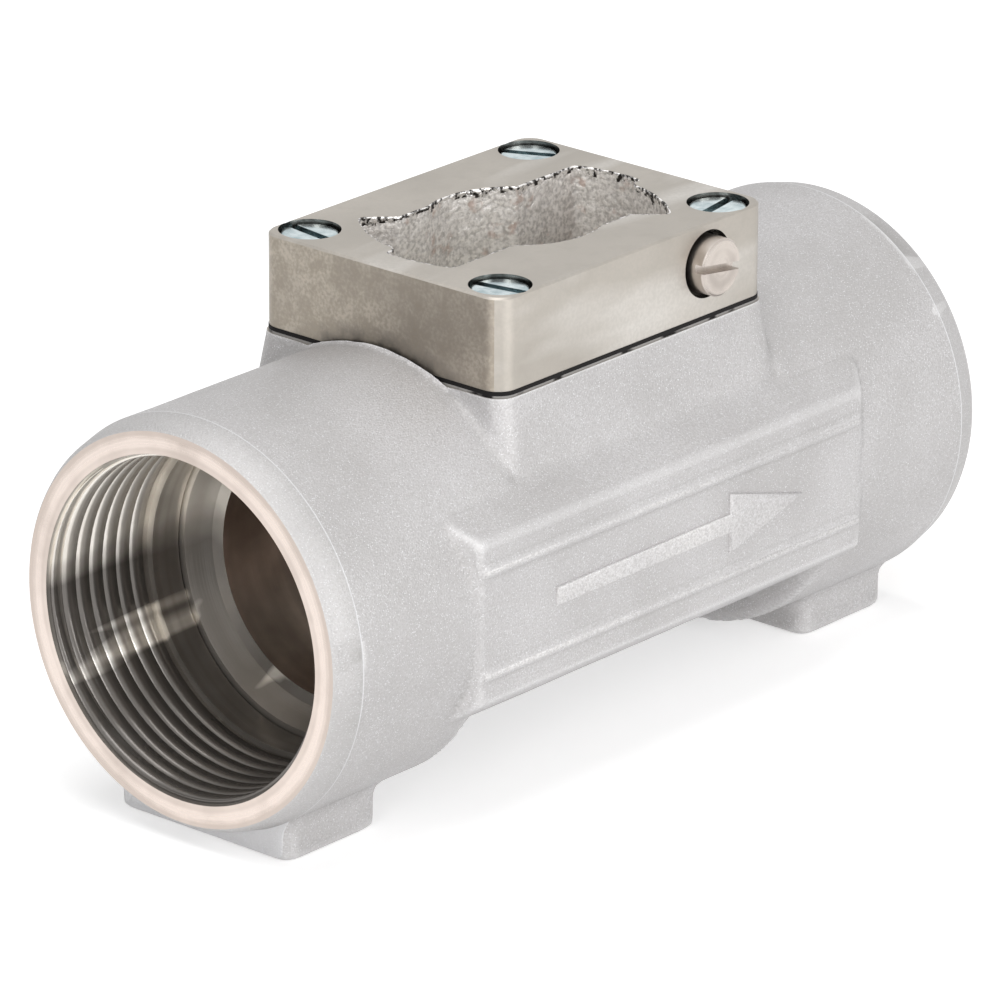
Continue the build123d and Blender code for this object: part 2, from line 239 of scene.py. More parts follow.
def card_material():
    """Dull black, and nothing at all for rays from the camera."""
    material, tree, shader = new_material("back_left_card")
    feed_named(tree, shader, {"Base Color": card_colour, "Roughness": 0.9})
    camera_ray = tree.nodes.new("ShaderNodeLightPath").outputs["Is Camera Ray"]
    clear = tree.nodes.new("ShaderNodeBsdfTransparent")
    either = tree.nodes.new("ShaderNodeMixShader")
    for slot, value in enumerate((camera_ray, shader.outputs[0], clear.outputs[0])):
        feed(tree, either.inputs[slot], value)
    feed(tree, tree.nodes["Material Output"].inputs["Surface"], either.outputs[0])
    return material


card_mesh = rectangle("back_left_card", card_wide, card_high, card_material())
card_turn = (card_aim - card_place).to_track_quat("Z", "Y").to_matrix().to_4x4()
card_mesh.transform(Matrix.Translation(card_place) @ card_turn)
new_object("back_left_card", card_mesh)
print("Dark card:", card_wide, "by", card_high, "m")

# %% [markdown]
# ## Floor
# The fitting stands on white paper. A plain white floor looks grey, since little light falls on it, and
# more light would burn out the casting. So the floor glows a little, for the camera and in mirrors
# alone, and its dull part still takes the fitting's shadow.

# %% Floor
floor_size = 3.0
floor_colour = (0.86, 0.86, 0.86, 1)
floor_lift = 0.46


def floor_material():
    """A pale floor that looks white and keeps the shadow."""
    material, tree, shader = new_material("studio_floor")
    tree.nodes.clear()
    paper = add_node(tree, "ShaderNodeBsdfDiffuse", Color=floor_colour)
    lift = math_node(tree, "MULTIPLY", seen_ray(tree), floor_lift)
    glow = add_node(tree, "ShaderNodeEmission", Strength=lift)
    both = tree.nodes.new("ShaderNodeAddShader")
    feed(tree, both.inputs[0], paper.outputs[0])
    feed(tree, both.inputs[1], glow.outputs[0])
    add_node(tree, "ShaderNodeOutputMaterial", Surface=both.outputs[0])
    return material


floor_mesh = rectangle("studio_floor", floor_size, floor_size, floor_material())
new_object("studio_floor", floor_mesh)
print("Floor:", floor_size, "m square")

# %% [markdown]
# ## Blasted grain
# A casting is cleaned by blasting it with shot, which leaves a fine even grain with a few facets that
# flash. The finishes paint those flecks pale, which is painted sparkle. A picture of such a surface
# could be wrapped round the piece, but a picture has a size and a seam. Cells and noise on the piece's
# own coordinates have neither. Several finishes share the effect, so it is a node group with named
# inputs, which gives only masks and a height.

# %% Blasted grain
grains_per_metre = 6800.0
fleck_share = 0.11
fleck_core = 0.42
dent_share = 0.62
clouds_per_metre = 55.0


def new_group(name, inputs, outputs):
    """An empty shader group with named inputs and outputs; an input with no value is a vector."""
    group = bpy.data.node_groups.new(name, "ShaderNodeTree")
    for label, value in inputs:
        kind = "NodeSocketVector" if value is None else "NodeSocketFloat"
        socket = group.interface.new_socket(label, in_out="INPUT", socket_type=kind)
        if value is not None:
            socket.default_value = value
    for label in outputs:
        group.interface.new_socket(label, in_out="OUTPUT", socket_type="NodeSocketFloat")
    given, out = group.nodes.new("NodeGroupInput"), group.nodes.new("NodeGroupOutput")
    return group, given.outputs, out.inputs


def noise_value(tree, vector, scale, detail=2.0):
    """A noise texture's value on a vector; the scale may be a socket."""
    node = add_node(tree, "ShaderNodeTexNoise", Vector=vector, Scale=scale, Detail=detail)
    return node.outputs["Fac"]


def blasted_grain_group():
    """Height, bright flecks and slow tone changes of a blasted surface."""
    inputs = [("Vector", None), ("Grains per metre", grains_per_metre), ("Fleck share", fleck_share)]
    group, given, out = new_group("blasted_grain", inputs, ["Height", "Flecks", "Tone"])
    vector, scale = given["Vector"], given["Grains per metre"]
    grains = add_node(group, "ShaderNodeTexVoronoi", Vector=vector, Scale=scale)
    pick = add_node(group, "ShaderNodeSeparateColor", Color=grains.outputs["Color"])
    limit = math_node(group, "SUBTRACT", 1.0, given["Fleck share"])
    chosen = math_node(group, "GREATER_THAN", pick.outputs["Red"], limit)
    core = math_node(group, "LESS_THAN", grains.outputs["Distance"], fleck_core)
    dents = math_node(group, "MULTIPLY", scale, dent_share)
    feed(group, out["Height"], noise_value(group, vector, dents, 3.0))
    feed(group, out["Flecks"], math_node(group, "MULTIPLY", chosen, core))
    feed(group, out["Tone"], noise_value(group, vector, clouds_per_metre, 3.0))
    return group


blasted_grain = blasted_grain_group()
print("Blasted grain:", len(blasted_grain.nodes), "nodes")

# %% [markdown]
# ## Cutter lines
# A lathe tool leaves fine lines side by side. They could be cut into the mesh, but there are thousands
# of them. A noise that changes in one direction only gives the same look: read against the distance
# from an axis it makes rings, and read along the axis it makes the lines of a bore.

# %% Cutter lines
lines_per_metre = 4000.0
broad_lines = 0.12


def cutter_lines_group():
    """Height and tone of cutter lines, from a coordinate that runs across them."""
    inputs = [("Across", 0.0), ("Lines per metre", lines_per_metre)]
    group, given, out = new_group("cutter_lines", inputs, ["Height", "Tone"])
    across = math_node(group, "MULTIPLY", given["Across"], given["Lines per metre"])
    for label, scale in (("Height", 1.0), ("Tone", broad_lines)):
        lines = group.nodes.new("ShaderNodeTexNoise")
        lines.noise_dimensions = "1D"
        feed_named(group, lines, {"W": across, "Scale": scale})
        feed(group, out[label], lines.outputs["Fac"])
    return group


cutter_lines = cutter_lines_group()
print("Cutter lines:", len(cutter_lines.nodes), "nodes")

# %% [markdown]
# ## Painted edge highlights and hollow shade
# Edges catch the light and hollows lie in shade, so both are painted into the colour: a painted
# highlight on convex edges and painted shade in hollows. Both could be painted by hand. The geometry's
# pointiness finds them by itself, but only where the mesh is fine and even, so the casting uses this
# effect and the coarse pieces don't.

# %% Painted edge highlights and hollow shade
flat_pointiness = 0.5
edge_reach = 0.06
edge_dead_zone = 0.008


def edge_highlight_hollow_shade_group():
    """A mask on convex edges for painted highlight, and one in hollows for painted shade."""
    inputs = [("Reach", edge_reach), ("Dead zone", edge_dead_zone)]
    group, given, out = new_group("rubbed_edge", inputs, ["Edges", "Hollows"])
    pointiness = group.nodes.new("ShaderNodeNewGeometry").outputs["Pointiness"]
    raised = math_node(group, "SUBTRACT", pointiness, flat_pointiness)
    sunk = math_node(group, "MULTIPLY", raised, -1.0)
    for label, value in (("Edges", raised), ("Hollows", sunk)):
        past = math_node(group, "SUBTRACT", value, given["Dead zone"])
        share = math_node(group, "DIVIDE", past, given["Reach"])
        feed(group, out[label], add_node(group, "ShaderNodeClamp", Value=share).outputs[0])
    return group


rubbed_edge = edge_highlight_hollow_shade_group()
print("Effects:", [g.name for g in bpy.data.node_groups])

# %% [markdown]
# ## Material helpers
# A finish is laid up in steps, as paint is: a ground colour, then tints that a mask lets through. One
# large graph for each finish could do it, but most steps are the same two or three nodes. So the
# steps are helpers, and only the shader and the numbers differ from finish to finish.

# %% Material helpers
def object_place(tree):
    """The place on the piece, in metres."""
    return tree.nodes.new("ShaderNodeTexCoord").outputs["Object"]


def parts(tree, vector):
    """The X, Y and Z outputs of a vector."""
    return add_node(tree, "ShaderNodeSeparateXYZ", Vector=vector).outputs


def streaked(tree, place, scale, turn=0.0):
    """The place turned about the vertical and drawn out, which makes streaks of a noise."""
    node = add_node(tree, "ShaderNodeMapping", Vector=place, Rotation=(0, 0, turn), Scale=scale)
    return node.outputs[0]


def place_group(tree, group, **values):
    """A group node with its inputs fed by name; gives its outputs."""
    node = tree.nodes.new("ShaderNodeGroup")
    node.node_tree = group
    return feed_named(tree, node, values).outputs


def mixed_colour(tree, mask, first, second):
    """The first colour where the mask is nothing, the second where it is one."""
    node = tree.nodes.new("ShaderNodeMix")
    node.data_type = "RGBA"
    feed(tree, node.inputs["Factor"], mask)
    for slot, colour in ((6, first), (7, second)):
        feed(tree, node.inputs[slot], (*colour, 1) if isinstance(colour, tuple) else colour)
    return node.outputs[2]


def tinted(tree, mask, share, colour, tint):
    """The colour with a share of a tint laid over it where the mask is one."""
    return mixed_colour(tree, mixed_value(tree, mask, 0.0, share), colour, tint)


def set_look(tree, shader, colour, roughness, metallic):
    """Feeds the shader's colour, gloss and metal; plain numbers go on its own sockets."""
    look = {"Base Color": colour, "Roughness": roughness, "Metallic": metallic}
    feed_named(tree, shader, look)


def add_bump(tree, shader, height, strength, distance):
    """Bump from a height."""
    values = {"Strength": strength, "Distance": distance, "Height": height}
    bump = add_node(tree, "ShaderNodeBump", **values)
    feed(tree, shader.inputs["Normal"], bump.outputs["Normal"])


print("Material helpers: 8")

# %% [markdown]
# ## Cast steel
# Blasted stainless steel is pale and half dull, with clouds of two tones, dark pits and bright flecks,
# whose pale colour is painted sparkle. Its hollows get painted shade and its edges a painted highlight.
# One even grey would do from far off, but it looks like plastic close up. So the grain's masks lay up
# the colour in that order. Each pipe end also has a band that was turned on a lathe, a little darker,
# with a painted highlight along the crease before it.

# %% Cast steel colours
cast_light = (0.60, 0.588, 0.592)
cast_dark = (0.50, 0.488, 0.486)
cast_pit = (0.40, 0.385, 0.38)
# The fleck colour is painted sparkle, and on the crease a painted highlight.
cast_sparkle = (0.75, 0.75, 0.765)
# The hollow colour is painted shade in hollows, and the edge colour a painted highlight on edges.
cast_hollow_shade = (0.30, 0.29, 0.28)
cast_edge_highlight = (0.80, 0.79, 0.79)
cast_band = (0.34, 0.33, 0.32)
# The relief's colour is paler than the casting's: a painted highlight on the ribs and the arrow.
relief_highlight = (0.72, 0.705, 0.70)
pit_share, hollow_shade_share, edge_highlight_share, band_share, crease_highlight_share = 0.62, 0.55, 0.5, 0.22, 0.7
cast_edge_highlight_reach = 0.035
band_length = 3.8
band_start = cad_box[1].x / MM - band_length
crease_highlight_width = 0.09


def grained_colour(tree, grain, light, dark):
    """Clouds of two tones, darker in the pits, and pale at the flecks as painted sparkle."""
    colour = mixed_colour(tree, ramp_mask(tree, grain["Tone"], 0.35, 0.65), dark, light)
    high = ramp_mask(tree, grain["Height"], 0.35, 0.65)
    colour = mixed_colour(tree, mixed_value(tree, high, pit_share, 0.0), colour, cast_pit)
    return mixed_colour(tree, grain["Flecks"], colour, cast_sparkle)


def lit_edges_shaded_hollows_colour(tree, colour):
    """Painted shade in the hollows and a painted highlight on the edges."""
    wear = place_group(tree, rubbed_edge, Reach=cast_edge_highlight_reach)
    colour = tinted(tree, wear["Hollows"], hollow_shade_share, colour, cast_hollow_shade)
    return tinted(tree, wear["Edges"], edge_highlight_share, colour, cast_edge_highlight)


def banded_colour(tree, place, colour):
    """A darker turned band at each pipe end, with a painted highlight along the crease before it."""
    along = math_node(tree, "ABSOLUTE", parts(tree, place)["X"])
    beyond = math_node(tree, "SUBTRACT", along, band_start * MM)
    band = math_node(tree, "GREATER_THAN", beyond, 0)
    colour = tinted(tree, band, band_share, colour, cast_band)
    # A thin painted highlight along the crease where the band begins.
    crease_highlight = math_node(tree, "LESS_THAN", math_node(tree, "ABSOLUTE", beyond), crease_highlight_width * MM)
    return tinted(tree, crease_highlight, crease_highlight_share, colour, cast_sparkle)


print("Turned bands start at", round(band_start, 2), "mm")

# %% Cast steel
cast_roughness, fleck_roughness = 0.52, 0.34
cast_metallic = 0.35
cast_bump, cast_bump_height = 0.7, 0.16


def cast_steel(name, light, dark, lit_edges_shaded_hollows=True):
    """Pale blasted stainless casting, bright flecks; painted edge light, hollow shade on fine mesh."""
    material, tree, shader = new_material(name)
    place = object_place(tree)
    grain = place_group(tree, blasted_grain, Vector=place)
    colour = grained_colour(tree, grain, light, dark)
    # On fine meshes the colour gets painted shade in hollows and painted highlights on edges.
    if lit_edges_shaded_hollows:
        colour = lit_edges_shaded_hollows_colour(tree, colour)
    colour = banded_colour(tree, place, colour)
    rough = mixed_value(tree, grain["Flecks"], cast_roughness, fleck_roughness)
    set_look(tree, shader, colour, rough, cast_metallic)
    add_bump(tree, shader, grain["Height"], cast_bump, cast_bump_height * MM)
    return material


cast_steel_material = cast_steel("cast_steel", cast_light, cast_dark)
# The ribs and the arrow get a paler copy of the cast finish, which is painted highlight.
lit_relief_material = cast_steel("cast_relief", relief_highlight, cast_light, lit_edges_shaded_hollows=False)
print("Cast steel:", len(cast_steel_material.node_tree.nodes), "nodes")

# %% [markdown]
# ## Turned steel
# The pipe ends, the bores, the threads and the locking screw come off a lathe, so they are smooth and
# carry fine lines. An anisotropic gloss would be one way, but few other programs keep it. Lines in
# the tone, the gloss and the bump last. Inside a bore, steel mirrors its own dark depth. In a white
# tent that depth is pale, so the lower half of the threads and the bore is tinted dark by its place.

# %% Dark lower side of a bore
bore_shadow = (0.07, 0.06, 0.055)
shadow_full, shadow_none = 29.0 * MM, 34.5 * MM
shadow_wave = 8.0 * MM
glint_scale = (12, 160, 160)
glint_start, glint_full = 0.60, 0.66


def vector_node(tree, operation, *values):
    """A vector math node on sockets or triples."""
    node = tree.nodes.new("ShaderNodeVectorMath")
    node.operation = operation
    for slot, value in enumerate(values):
        feed(tree, node.inputs[slot], value)
    return node


def radius_about(tree, axis, centre):
    """Distance from an axis through a centre, for turned faces."""
    offset = vector_node(tree, "SUBTRACT", object_place(tree), centre)
    across = tuple(0.0 if name == axis else 1.0 for name in "XYZ")
    flat = vector_node(tree, "MULTIPLY", offset.outputs[0], across)
    return vector_node(tree, "LENGTH", flat.outputs[0]).outputs["Value"]


def shaded_bore(tree, colour, dim):
    """A bore's colour, dim below its middle up to a wavy line, with a few glints."""
    place = object_place(tree)
    streak = noise_value(tree, streaked(tree, place, glint_scale), 1.0)
    wave = math_node(tree, "MULTIPLY", streak, shadow_wave)
    level = math_node(tree, "ADD", parts(tree, place)["Z"], wave)
    low = math_node(tree, "SUBTRACT", 1.0, ramp_mask(tree, level, shadow_full, shadow_none))
    glint = ramp_mask(tree, streak, glint_start, glint_full)
    shadow = math_node(tree, "MULTIPLY", low, math_node(tree, "SUBTRACT", 1.0, glint))
    return tinted(tree, shadow, dim, colour, bore_shadow)


print("Bore shadow fades by", round(shadow_none / MM, 1), "mm up")

# %% Turned steel
pipe_axis = (0, 0, 0.027)
lock_centre = tuple((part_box("locking_screw")[0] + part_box("locking_screw")[1]) / 2)
dimmed_metallic = 0.45
stains_per_metre = 160.0
gloss_low, gloss_high = 0.7, 1.3
turned_bump, turned_bump_height = 0.25, 0.04


def turned_steel(name, light, dark, roughness, lines, centre=None, axis="X", dim=0.0):
    """Steel off the lathe, with rings round a centre or, without one, lines along the axis."""
    material, tree, shader = new_material(name)
    if centre is None:
        across = parts(tree, object_place(tree))[axis]
    else:
        across = radius_about(tree, axis, centre)
    cut = place_group(tree, cutter_lines, Across=across, Lines_per_metre=lines)
    stain = noise_value(tree, object_place(tree), stains_per_metre, 3.0)
    tone = math_node(tree, "MULTIPLY", cut["Tone"], stain)
    colour = mixed_colour(tree, ramp_mask(tree, tone, 0.15, 0.38), dark, light)
    if dim:
        colour = shaded_bore(tree, colour, dim)
    rough = mixed_value(tree, cut["Height"], roughness * gloss_low, roughness * gloss_high)
    set_look(tree, shader, colour, rough, dimmed_metallic if dim else 1.0)
    add_bump(tree, shader, cut["Height"], turned_bump, turned_bump_height * MM)
    return material


# The pipe ends' warm pink tint is painted reflection.
turned_end = turned_steel(
    "turned_end", (0.78, 0.68, 0.62), (0.58, 0.50, 0.45), 0.30, 5000.0, pipe_axis
)
bored_steel = turned_steel(
    "bored_steel", (0.93, 0.88, 0.80), (0.66, 0.61, 0.54), 0.22, 3500.0, dim=0.78
)
thread_steel = turned_steel(
    "thread_steel", (0.97, 0.93, 0.87), (0.82, 0.77, 0.70), 0.18, 9000.0, dim=0.88
)
flow_steel = turned_steel("flow_steel", (0.62, 0.53, 0.47), (0.38, 0.32, 0.28), 0.36, 1500.0)
lock_steel = turned_steel(
    "lock_steel", (0.58, 0.525, 0.48), (0.36, 0.32, 0.29), 0.30, 4200.0, lock_centre, "Y"
)
print("Turned steels: 5, the lock's axis at", round(lock_centre[2] / MM, 1), "mm up")

# %% [markdown]
# ## Milled steel
# The block on top is milled: satin, warm in tone and finely mottled, with a few pale sweeps of the
# cutter. Its left face gets a browner, darker copy of the finish, which is painted shade, with stains
# on it, and near the barrel a painted shadow and a painted dark reflection of the barrel. The two could
# be two materials, but the mottle runs round the corner, so one material changes its colour where the
# face looks to the left.

# %% Milled colours
milled_dark, milled_light = (0.41, 0.38, 0.34), (0.48, 0.445, 0.40)
milled_mottle, milled_grit = (0.38, 0.35, 0.31), (0.36, 0.34, 0.31)
milled_sweep = (0.74, 0.72, 0.69)
# The left face's colours are a browner, darker copy of the milled ones: painted shade.
left_shaded_dark, left_shaded_light = (0.37, 0.325, 0.265), (0.52, 0.465, 0.395)
# The dark arc near the barrel is painted shadow and painted dark reflection of the barrel.
left_shaded_stain, painted_barrel_shade = (0.27, 0.235, 0.20), (0.075, 0.065, 0.058)
barrel_shade_full, barrel_shade_none = 25.7 * MM, 28.4 * MM
left_limit = -0.85
sweep_scale, sweep_turn = (22, 95, 95), 0.5
mottle_share, sweep_share, stain_share, barrel_shade_share = 0.35, 0.6, 0.35, 0.85


def milled_colour(tree, place, mottle, slow):
    """Clouds of two tones, mottled, with pale sweeps of the cutter."""
    colour = mixed_colour(tree, ramp_mask(tree, slow, 0.38, 0.66), milled_dark, milled_light)
    spots = ramp_mask(tree, mottle, 0.5, 0.72)
    colour = tinted(tree, spots, mottle_share, colour, milled_mottle)
    sweep = noise_value(tree, streaked(tree, place, sweep_scale, sweep_turn), 1.0, 3.0)
    return tinted(tree, ramp_mask(tree, sweep, 0.52, 0.70), sweep_share, colour, milled_sweep)


def left_shaded_colour(tree, fine, mottle, slow):
    """Spotted brown, stained and darker as painted shade, with the barrel's painted shade near it."""
    spots = ramp_mask(tree, math_node(tree, "MULTIPLY", fine, mottle), 0.17, 0.36)
    colour = mixed_colour(tree, spots, left_shaded_dark, left_shaded_light)
    colour = tinted(tree, ramp_mask(tree, slow, 0.45, 0.62), stain_share, colour, left_shaded_stain)
    # Near the barrel the face darkens: painted shadow and painted dark reflection of the barrel.
    far = ramp_mask(tree, radius_about(tree, "X", pipe_axis), barrel_shade_full, barrel_shade_none)
    near = math_node(tree, "SUBTRACT", 1.0, far)
    barrel_shade = math_node(tree, "MULTIPLY", near, ramp_mask(tree, mottle, 0.30, 0.55))
    return tinted(tree, barrel_shade, barrel_shade_share, colour, painted_barrel_shade)


# How far the barrel's painted shadow and dark reflection reach.
print("Smudge reaches", round((barrel_shade_none - barrel_shade_full) / MM, 1), "mm from the barrel")

# %% Milled steel
fine_spots, mottle_spots, slow_clouds = 2200.0, 420.0, 60.0
grit_share = 0.22
milled_gloss, milled_dull = 0.40, 0.54


def milled_steel():
    """The machined block's finish, with painted shade as a browner, darker copy on its left face."""
    material, tree, shader = new_material("milled_steel")
    place = object_place(tree)
    fine = noise_value(tree, place, fine_spots, 3.0)
    mottle = noise_value(tree, place, mottle_spots, 5.0)
    slow = noise_value(tree, place, slow_clouds)
    normal = parts(tree, tree.nodes.new("ShaderNodeNewGeometry").outputs["True Normal"])
    # The face that looks left gets the browner, darker copy, which paints its shade.
    to_left = math_node(tree, "LESS_THAN", normal["X"], left_limit)
    left_shaded = left_shaded_colour(tree, fine, mottle, slow)
    colour = mixed_colour(tree, to_left, milled_colour(tree, place, mottle, slow), left_shaded)
    grit = mixed_value(tree, ramp_mask(tree, fine, 0.40, 0.62), grit_share, 0.0)
    colour = mixed_colour(tree, grit, colour, milled_grit)
    rough = mixed_value(tree, fine, milled_gloss, milled_dull)
    set_look(tree, shader, colour, rough, 0.85)
    add_bump(tree, shader, fine, 0.16, 0.05 * MM)
    return material


milled = milled_steel()
print("Milled steel:", len(milled.node_tree.nodes), "nodes")

# %% [markdown]
# ## Rough wall, torn edge and gasket
# The wall of the opening was never machined: it is grey-beige and pitted, with rusty specks, and its
# upper edge is torn into bright and dark crumbs. The gasket is black rubber with a thin, broken pale
# line under it, where the casting's edge shows. Each could be modelled crumb by crumb, but at less
# than a tenth of a millimetre a mask does as well.

# %% Rough wall and torn edge
wall_dark, wall_light = (0.54, 0.515, 0.495), (0.88, 0.85, 0.82)
# The wall's fleck colour is painted sparkle.
wall_rust, wall_sparkle = (0.42, 0.24, 0.17), (0.90, 0.88, 0.86)
burr_dark, burr_light = (0.04, 0.036, 0.034), (0.95, 0.93, 0.91)
wall_grains, wall_flecks = 3200.0, 0.025
rust_spots, rust_share = 420.0, 0.45
burr_crumbs = 1500.0
wall_bump_height = 0.2


def rough_wall_steel():
    """The unmachined wall of the opening."""
    material, tree, shader = new_material("rough_wall_steel")
    place = object_place(tree)
    sizes = {"Grains per metre": wall_grains, "Fleck share": wall_flecks}
    grain = place_group(tree, blasted_grain, Vector=place, **sizes)
    colour = mixed_colour(tree, ramp_mask(tree, grain["Height"], 0.35, 0.62), wall_dark, wall_light)
    rust = ramp_mask(tree, noise_value(tree, place, rust_spots, 4.0), 0.58, 0.68)
    colour = tinted(tree, rust, rust_share, colour, wall_rust)
    colour = mixed_colour(tree, grain["Flecks"], colour, wall_sparkle)
    set_look(tree, shader, colour, 0.48, 0.6)
    add_bump(tree, shader, grain["Height"], 0.6, wall_bump_height * MM)
    return material


def burr_steel():
    """The torn bright edge between the rough wall and the milled top."""
    material, tree, shader = new_material("burr_steel")
    torn = noise_value(tree, object_place(tree), burr_crumbs, 3.0)
    colour = mixed_colour(tree, ramp_mask(tree, torn, 0.44, 0.56), burr_dark, burr_light)
    set_look(tree, shader, colour, 0.30, 0.9)
    add_bump(tree, shader, torn, 0.8, wall_bump_height * MM)
    return material


rough_wall = rough_wall_steel()
burr = burr_steel()
print("Rough wall:", len(rough_wall.node_tree.nodes), "nodes, torn edge:", len(burr.node_tree.nodes))

# %% Gasket
gasket_black, gasket_line = (0.012, 0.011, 0.011), (0.30, 0.29, 0.28)
line_width, line_gaps = 0.28, 300.0


def gasket_rubber():
    """Black rubber with a thin pale line where the casting's edge shows under it."""
    material, tree, shader = new_material("gasket_rubber")
    place = object_place(tree)
    line_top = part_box("flange_gasket")[0].z + line_width * MM
    pale = math_node(tree, "LESS_THAN", parts(tree, place)["Z"], line_top)
    broken = ramp_mask(tree, noise_value(tree, place, line_gaps), 0.40, 0.50)
    pale = math_node(tree, "MULTIPLY", pale, broken)
    set_look(tree, shader, mixed_colour(tree, pale, gasket_black, gasket_line), 0.7, 0.0)
    shader.inputs["Specular IOR Level"].default_value = 0.15
    return material


gasket_finish = gasket_rubber()
print("Gasket:", len(gasket_finish.node_tree.nodes), "nodes")

# %% [markdown]
# ## Small parts
# The screws are zinc plated, and below the opening sit parts of plastic, ceramic, rubber and magnet
# steel. They are small, so each could have one flat colour. A little noise in the tone and the gloss
# costs nothing and keeps them from looking like toys, and one table holds them all.

# %% Small parts' finishes
def plain_finish(name, light, dark, roughness, metallic, scale=900.0):
    """A finish with slight, fine changes of tone and gloss."""
    material, tree, shader = new_material(name)
    cloud = noise_value(tree, object_place(tree), scale, 3.0)
    colour = mixed_colour(tree, ramp_mask(tree, cloud, 0.3, 0.7), dark, light)
    rough = mixed_value(tree, cloud, roughness * 0.8, roughness * 1.2)
    set_look(tree, shader, colour, rough, metallic)
    add_bump(tree, shader, cloud, 0.1, 0.05 * MM)
    return material


zinc = plain_finish("bright_zinc", (0.70, 0.78, 0.79), (0.34, 0.43, 0.46), 0.20, 1.0, 520.0)
seal_rubber = plain_finish("seal_rubber", (0.016, 0.015, 0.015), (0.008, 0.008, 0.008), 0.6, 0.0)
natural_plastic = plain_finish(
    "natural_plastic", (0.80, 0.79, 0.73), (0.76, 0.745, 0.69), 0.35, 0.0, 300.0
)
ground_ceramic = plain_finish("ground_ceramic", (0.86, 0.85, 0.80), (0.80, 0.79, 0.74), 0.25, 0.0)
magnet_steel = plain_finish("magnet_steel", (0.10, 0.10, 0.11), (0.06, 0.06, 0.065), 0.45, 0.8)
# The seat finish is dark: painted shade in the screw seats and the lock's recess.
seat_steel = plain_finish("seat_steel", (0.34, 0.33, 0.31), (0.10, 0.095, 0.09), 0.25, 1.0)
pin_steel = plain_finish("pin_steel", (0.68, 0.67, 0.66), (0.58, 0.57, 0.56), 0.25, 1.0)
print("Materials so far:", len(bpy.data.materials))

# %% Dress the inner CAD nodes
inner_finishes = {
    "sensor_holder": natural_plastic,
    "holder_o_ring": seal_rubber,
    "locating_pin": pin_steel,
    "paddle_wheel": natural_plastic,
    "paddle_axle": ground_ceramic,
    "paddle_magnet": magnet_steel,
    "bearing_bush": ground_ceramic,
    "bearing_plug": natural_plastic,
}
dressed_nodes = []
for node_name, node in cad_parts.items():
    for family, material in inner_finishes.items():
        if node_name.startswith(family):
            node.data.materials.clear()
            node.data.materials.append(material)
            dressed_nodes.append(node_name)
print("Dressed CAD nodes:", len(dressed_nodes))

# %% [markdown]
# ## Mesh helpers
# A piece here starts as a CAD node's copy, a turned profile or a block, and is then cut, joined and
# smoothed. Each could be done with the mouse in Edit Mode. As helpers, the same steps serve every
# piece, and each leaves its object at the origin with its place in the mesh, as the CAD nodes are.

# %% Copies and writing back
merge_distance = 0.002


def opened(*meshes):
    """A bmesh that holds one mesh or several."""
    work = bmesh.new()
    for mesh in meshes:
        work.from_mesh(mesh)
    return work


def written(work, mesh):
    """Writes a bmesh into a mesh and frees it."""
    work.to_mesh(mesh)
    work.free()
    return mesh


def from_bmesh(name, work):
    """A new object with the bmesh as its mesh."""
    return new_object(name, written(work, bpy.data.meshes.new(name)))


def merged_copy(node, name):
    """A copy of a CAD node whose loose triangles are joined."""
    copied = new_object(name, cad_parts[node].data.copy())
    work = opened(copied.data)
    bmesh.ops.remove_doubles(work, verts=work.verts, dist=merge_distance * MM)
    stored = written(work, copied.data).attributes
    for label in ("custom_normal", "sharp_edge"):
        if label in stored:
            stored.remove(stored[label])
    return copied


def move_mesh(piece, x=0.0, y=0.0, z=0.0):
    """Moves a piece's mesh by millimetres and leaves its object at the origin."""
    piece.data.transform(Matrix.Translation((x * MM, y * MM, z * MM)))
    return piece


print("Doubles are merged within", merge_distance, "mm")

# %% Turned shapes
axis_turns = {
    "X": lambda a, r, t: (a, r * cos(t), r * sin(t)),
    "Z": lambda a, r, t: (r * cos(t), r * sin(t), a),
}


def ring_verts(work, axis, place, radius, steps):
    """One ring of vertices about an axis."""
    spots = [axis_turns[axis](place, radius, 2 * pi * i / steps) for i in range(steps)]
    return [work.verts.new([v * MM for v in spot]) for spot in spots]


def lathe(name, profile, axis="X", steps=192, ring=False):
    """A solid turned from (place along the axis, radius) pairs in mm; a ring keeps off the axis."""
    work = bmesh.new()
    inner = profile if ring else profile[1:-1]
    rings = [ring_verts(work, axis, place, radius, steps) for place, radius in inner]
    if ring:
        rings.append(rings[0])
    else:
        tips = [axis_turns[axis](profile[at][0], 0, 0) for at in (0, -1)]
        ends = [work.verts.new([v * MM for v in tip]) for tip in tips]
    for i in range(steps):
        j = (i + 1) % steps
        for low, high in zip(rings, rings[1:]):
            work.faces.new((low[i], low[j], high[j], high[i]))
        if not ring:
            work.faces.new((ends[0], rings[0][j], rings[0][i]))
            work.faces.new((ends[1], rings[-1][i], rings[-1][j]))
    bmesh.ops.recalc_face_normals(work, faces=work.faces)
    return from_bmesh(name, work)


print("Turned shapes about", list(axis_turns))

# %% Blocks and cuts
upright = 0.99
corner_steps = 5


def block(name, low, high):
    """A plain box from corner to corner in mm, used as a cutter or a filling."""
    work = bmesh.new()
    bmesh.ops.create_cube(work, size=1)
    size = [(b - a) * MM for a, b in zip(low, high)]
    middle = [(a + b) / 2 * MM for a, b in zip(low, high)]
    placed = Matrix.Translation(middle) @ Matrix.Diagonal((*size, 1))
    bmesh.ops.transform(work, matrix=placed, verts=work.verts)
    return from_bmesh(name, work)


def round_edges(work, edges, radius, steps):
    """Rounds some edges of a bmesh."""
    rounding = {"offset": radius * MM, "segments": steps, "profile": 0.5, "affect": "EDGES"}
    bmesh.ops.bevel(work, geom=edges, **rounding)


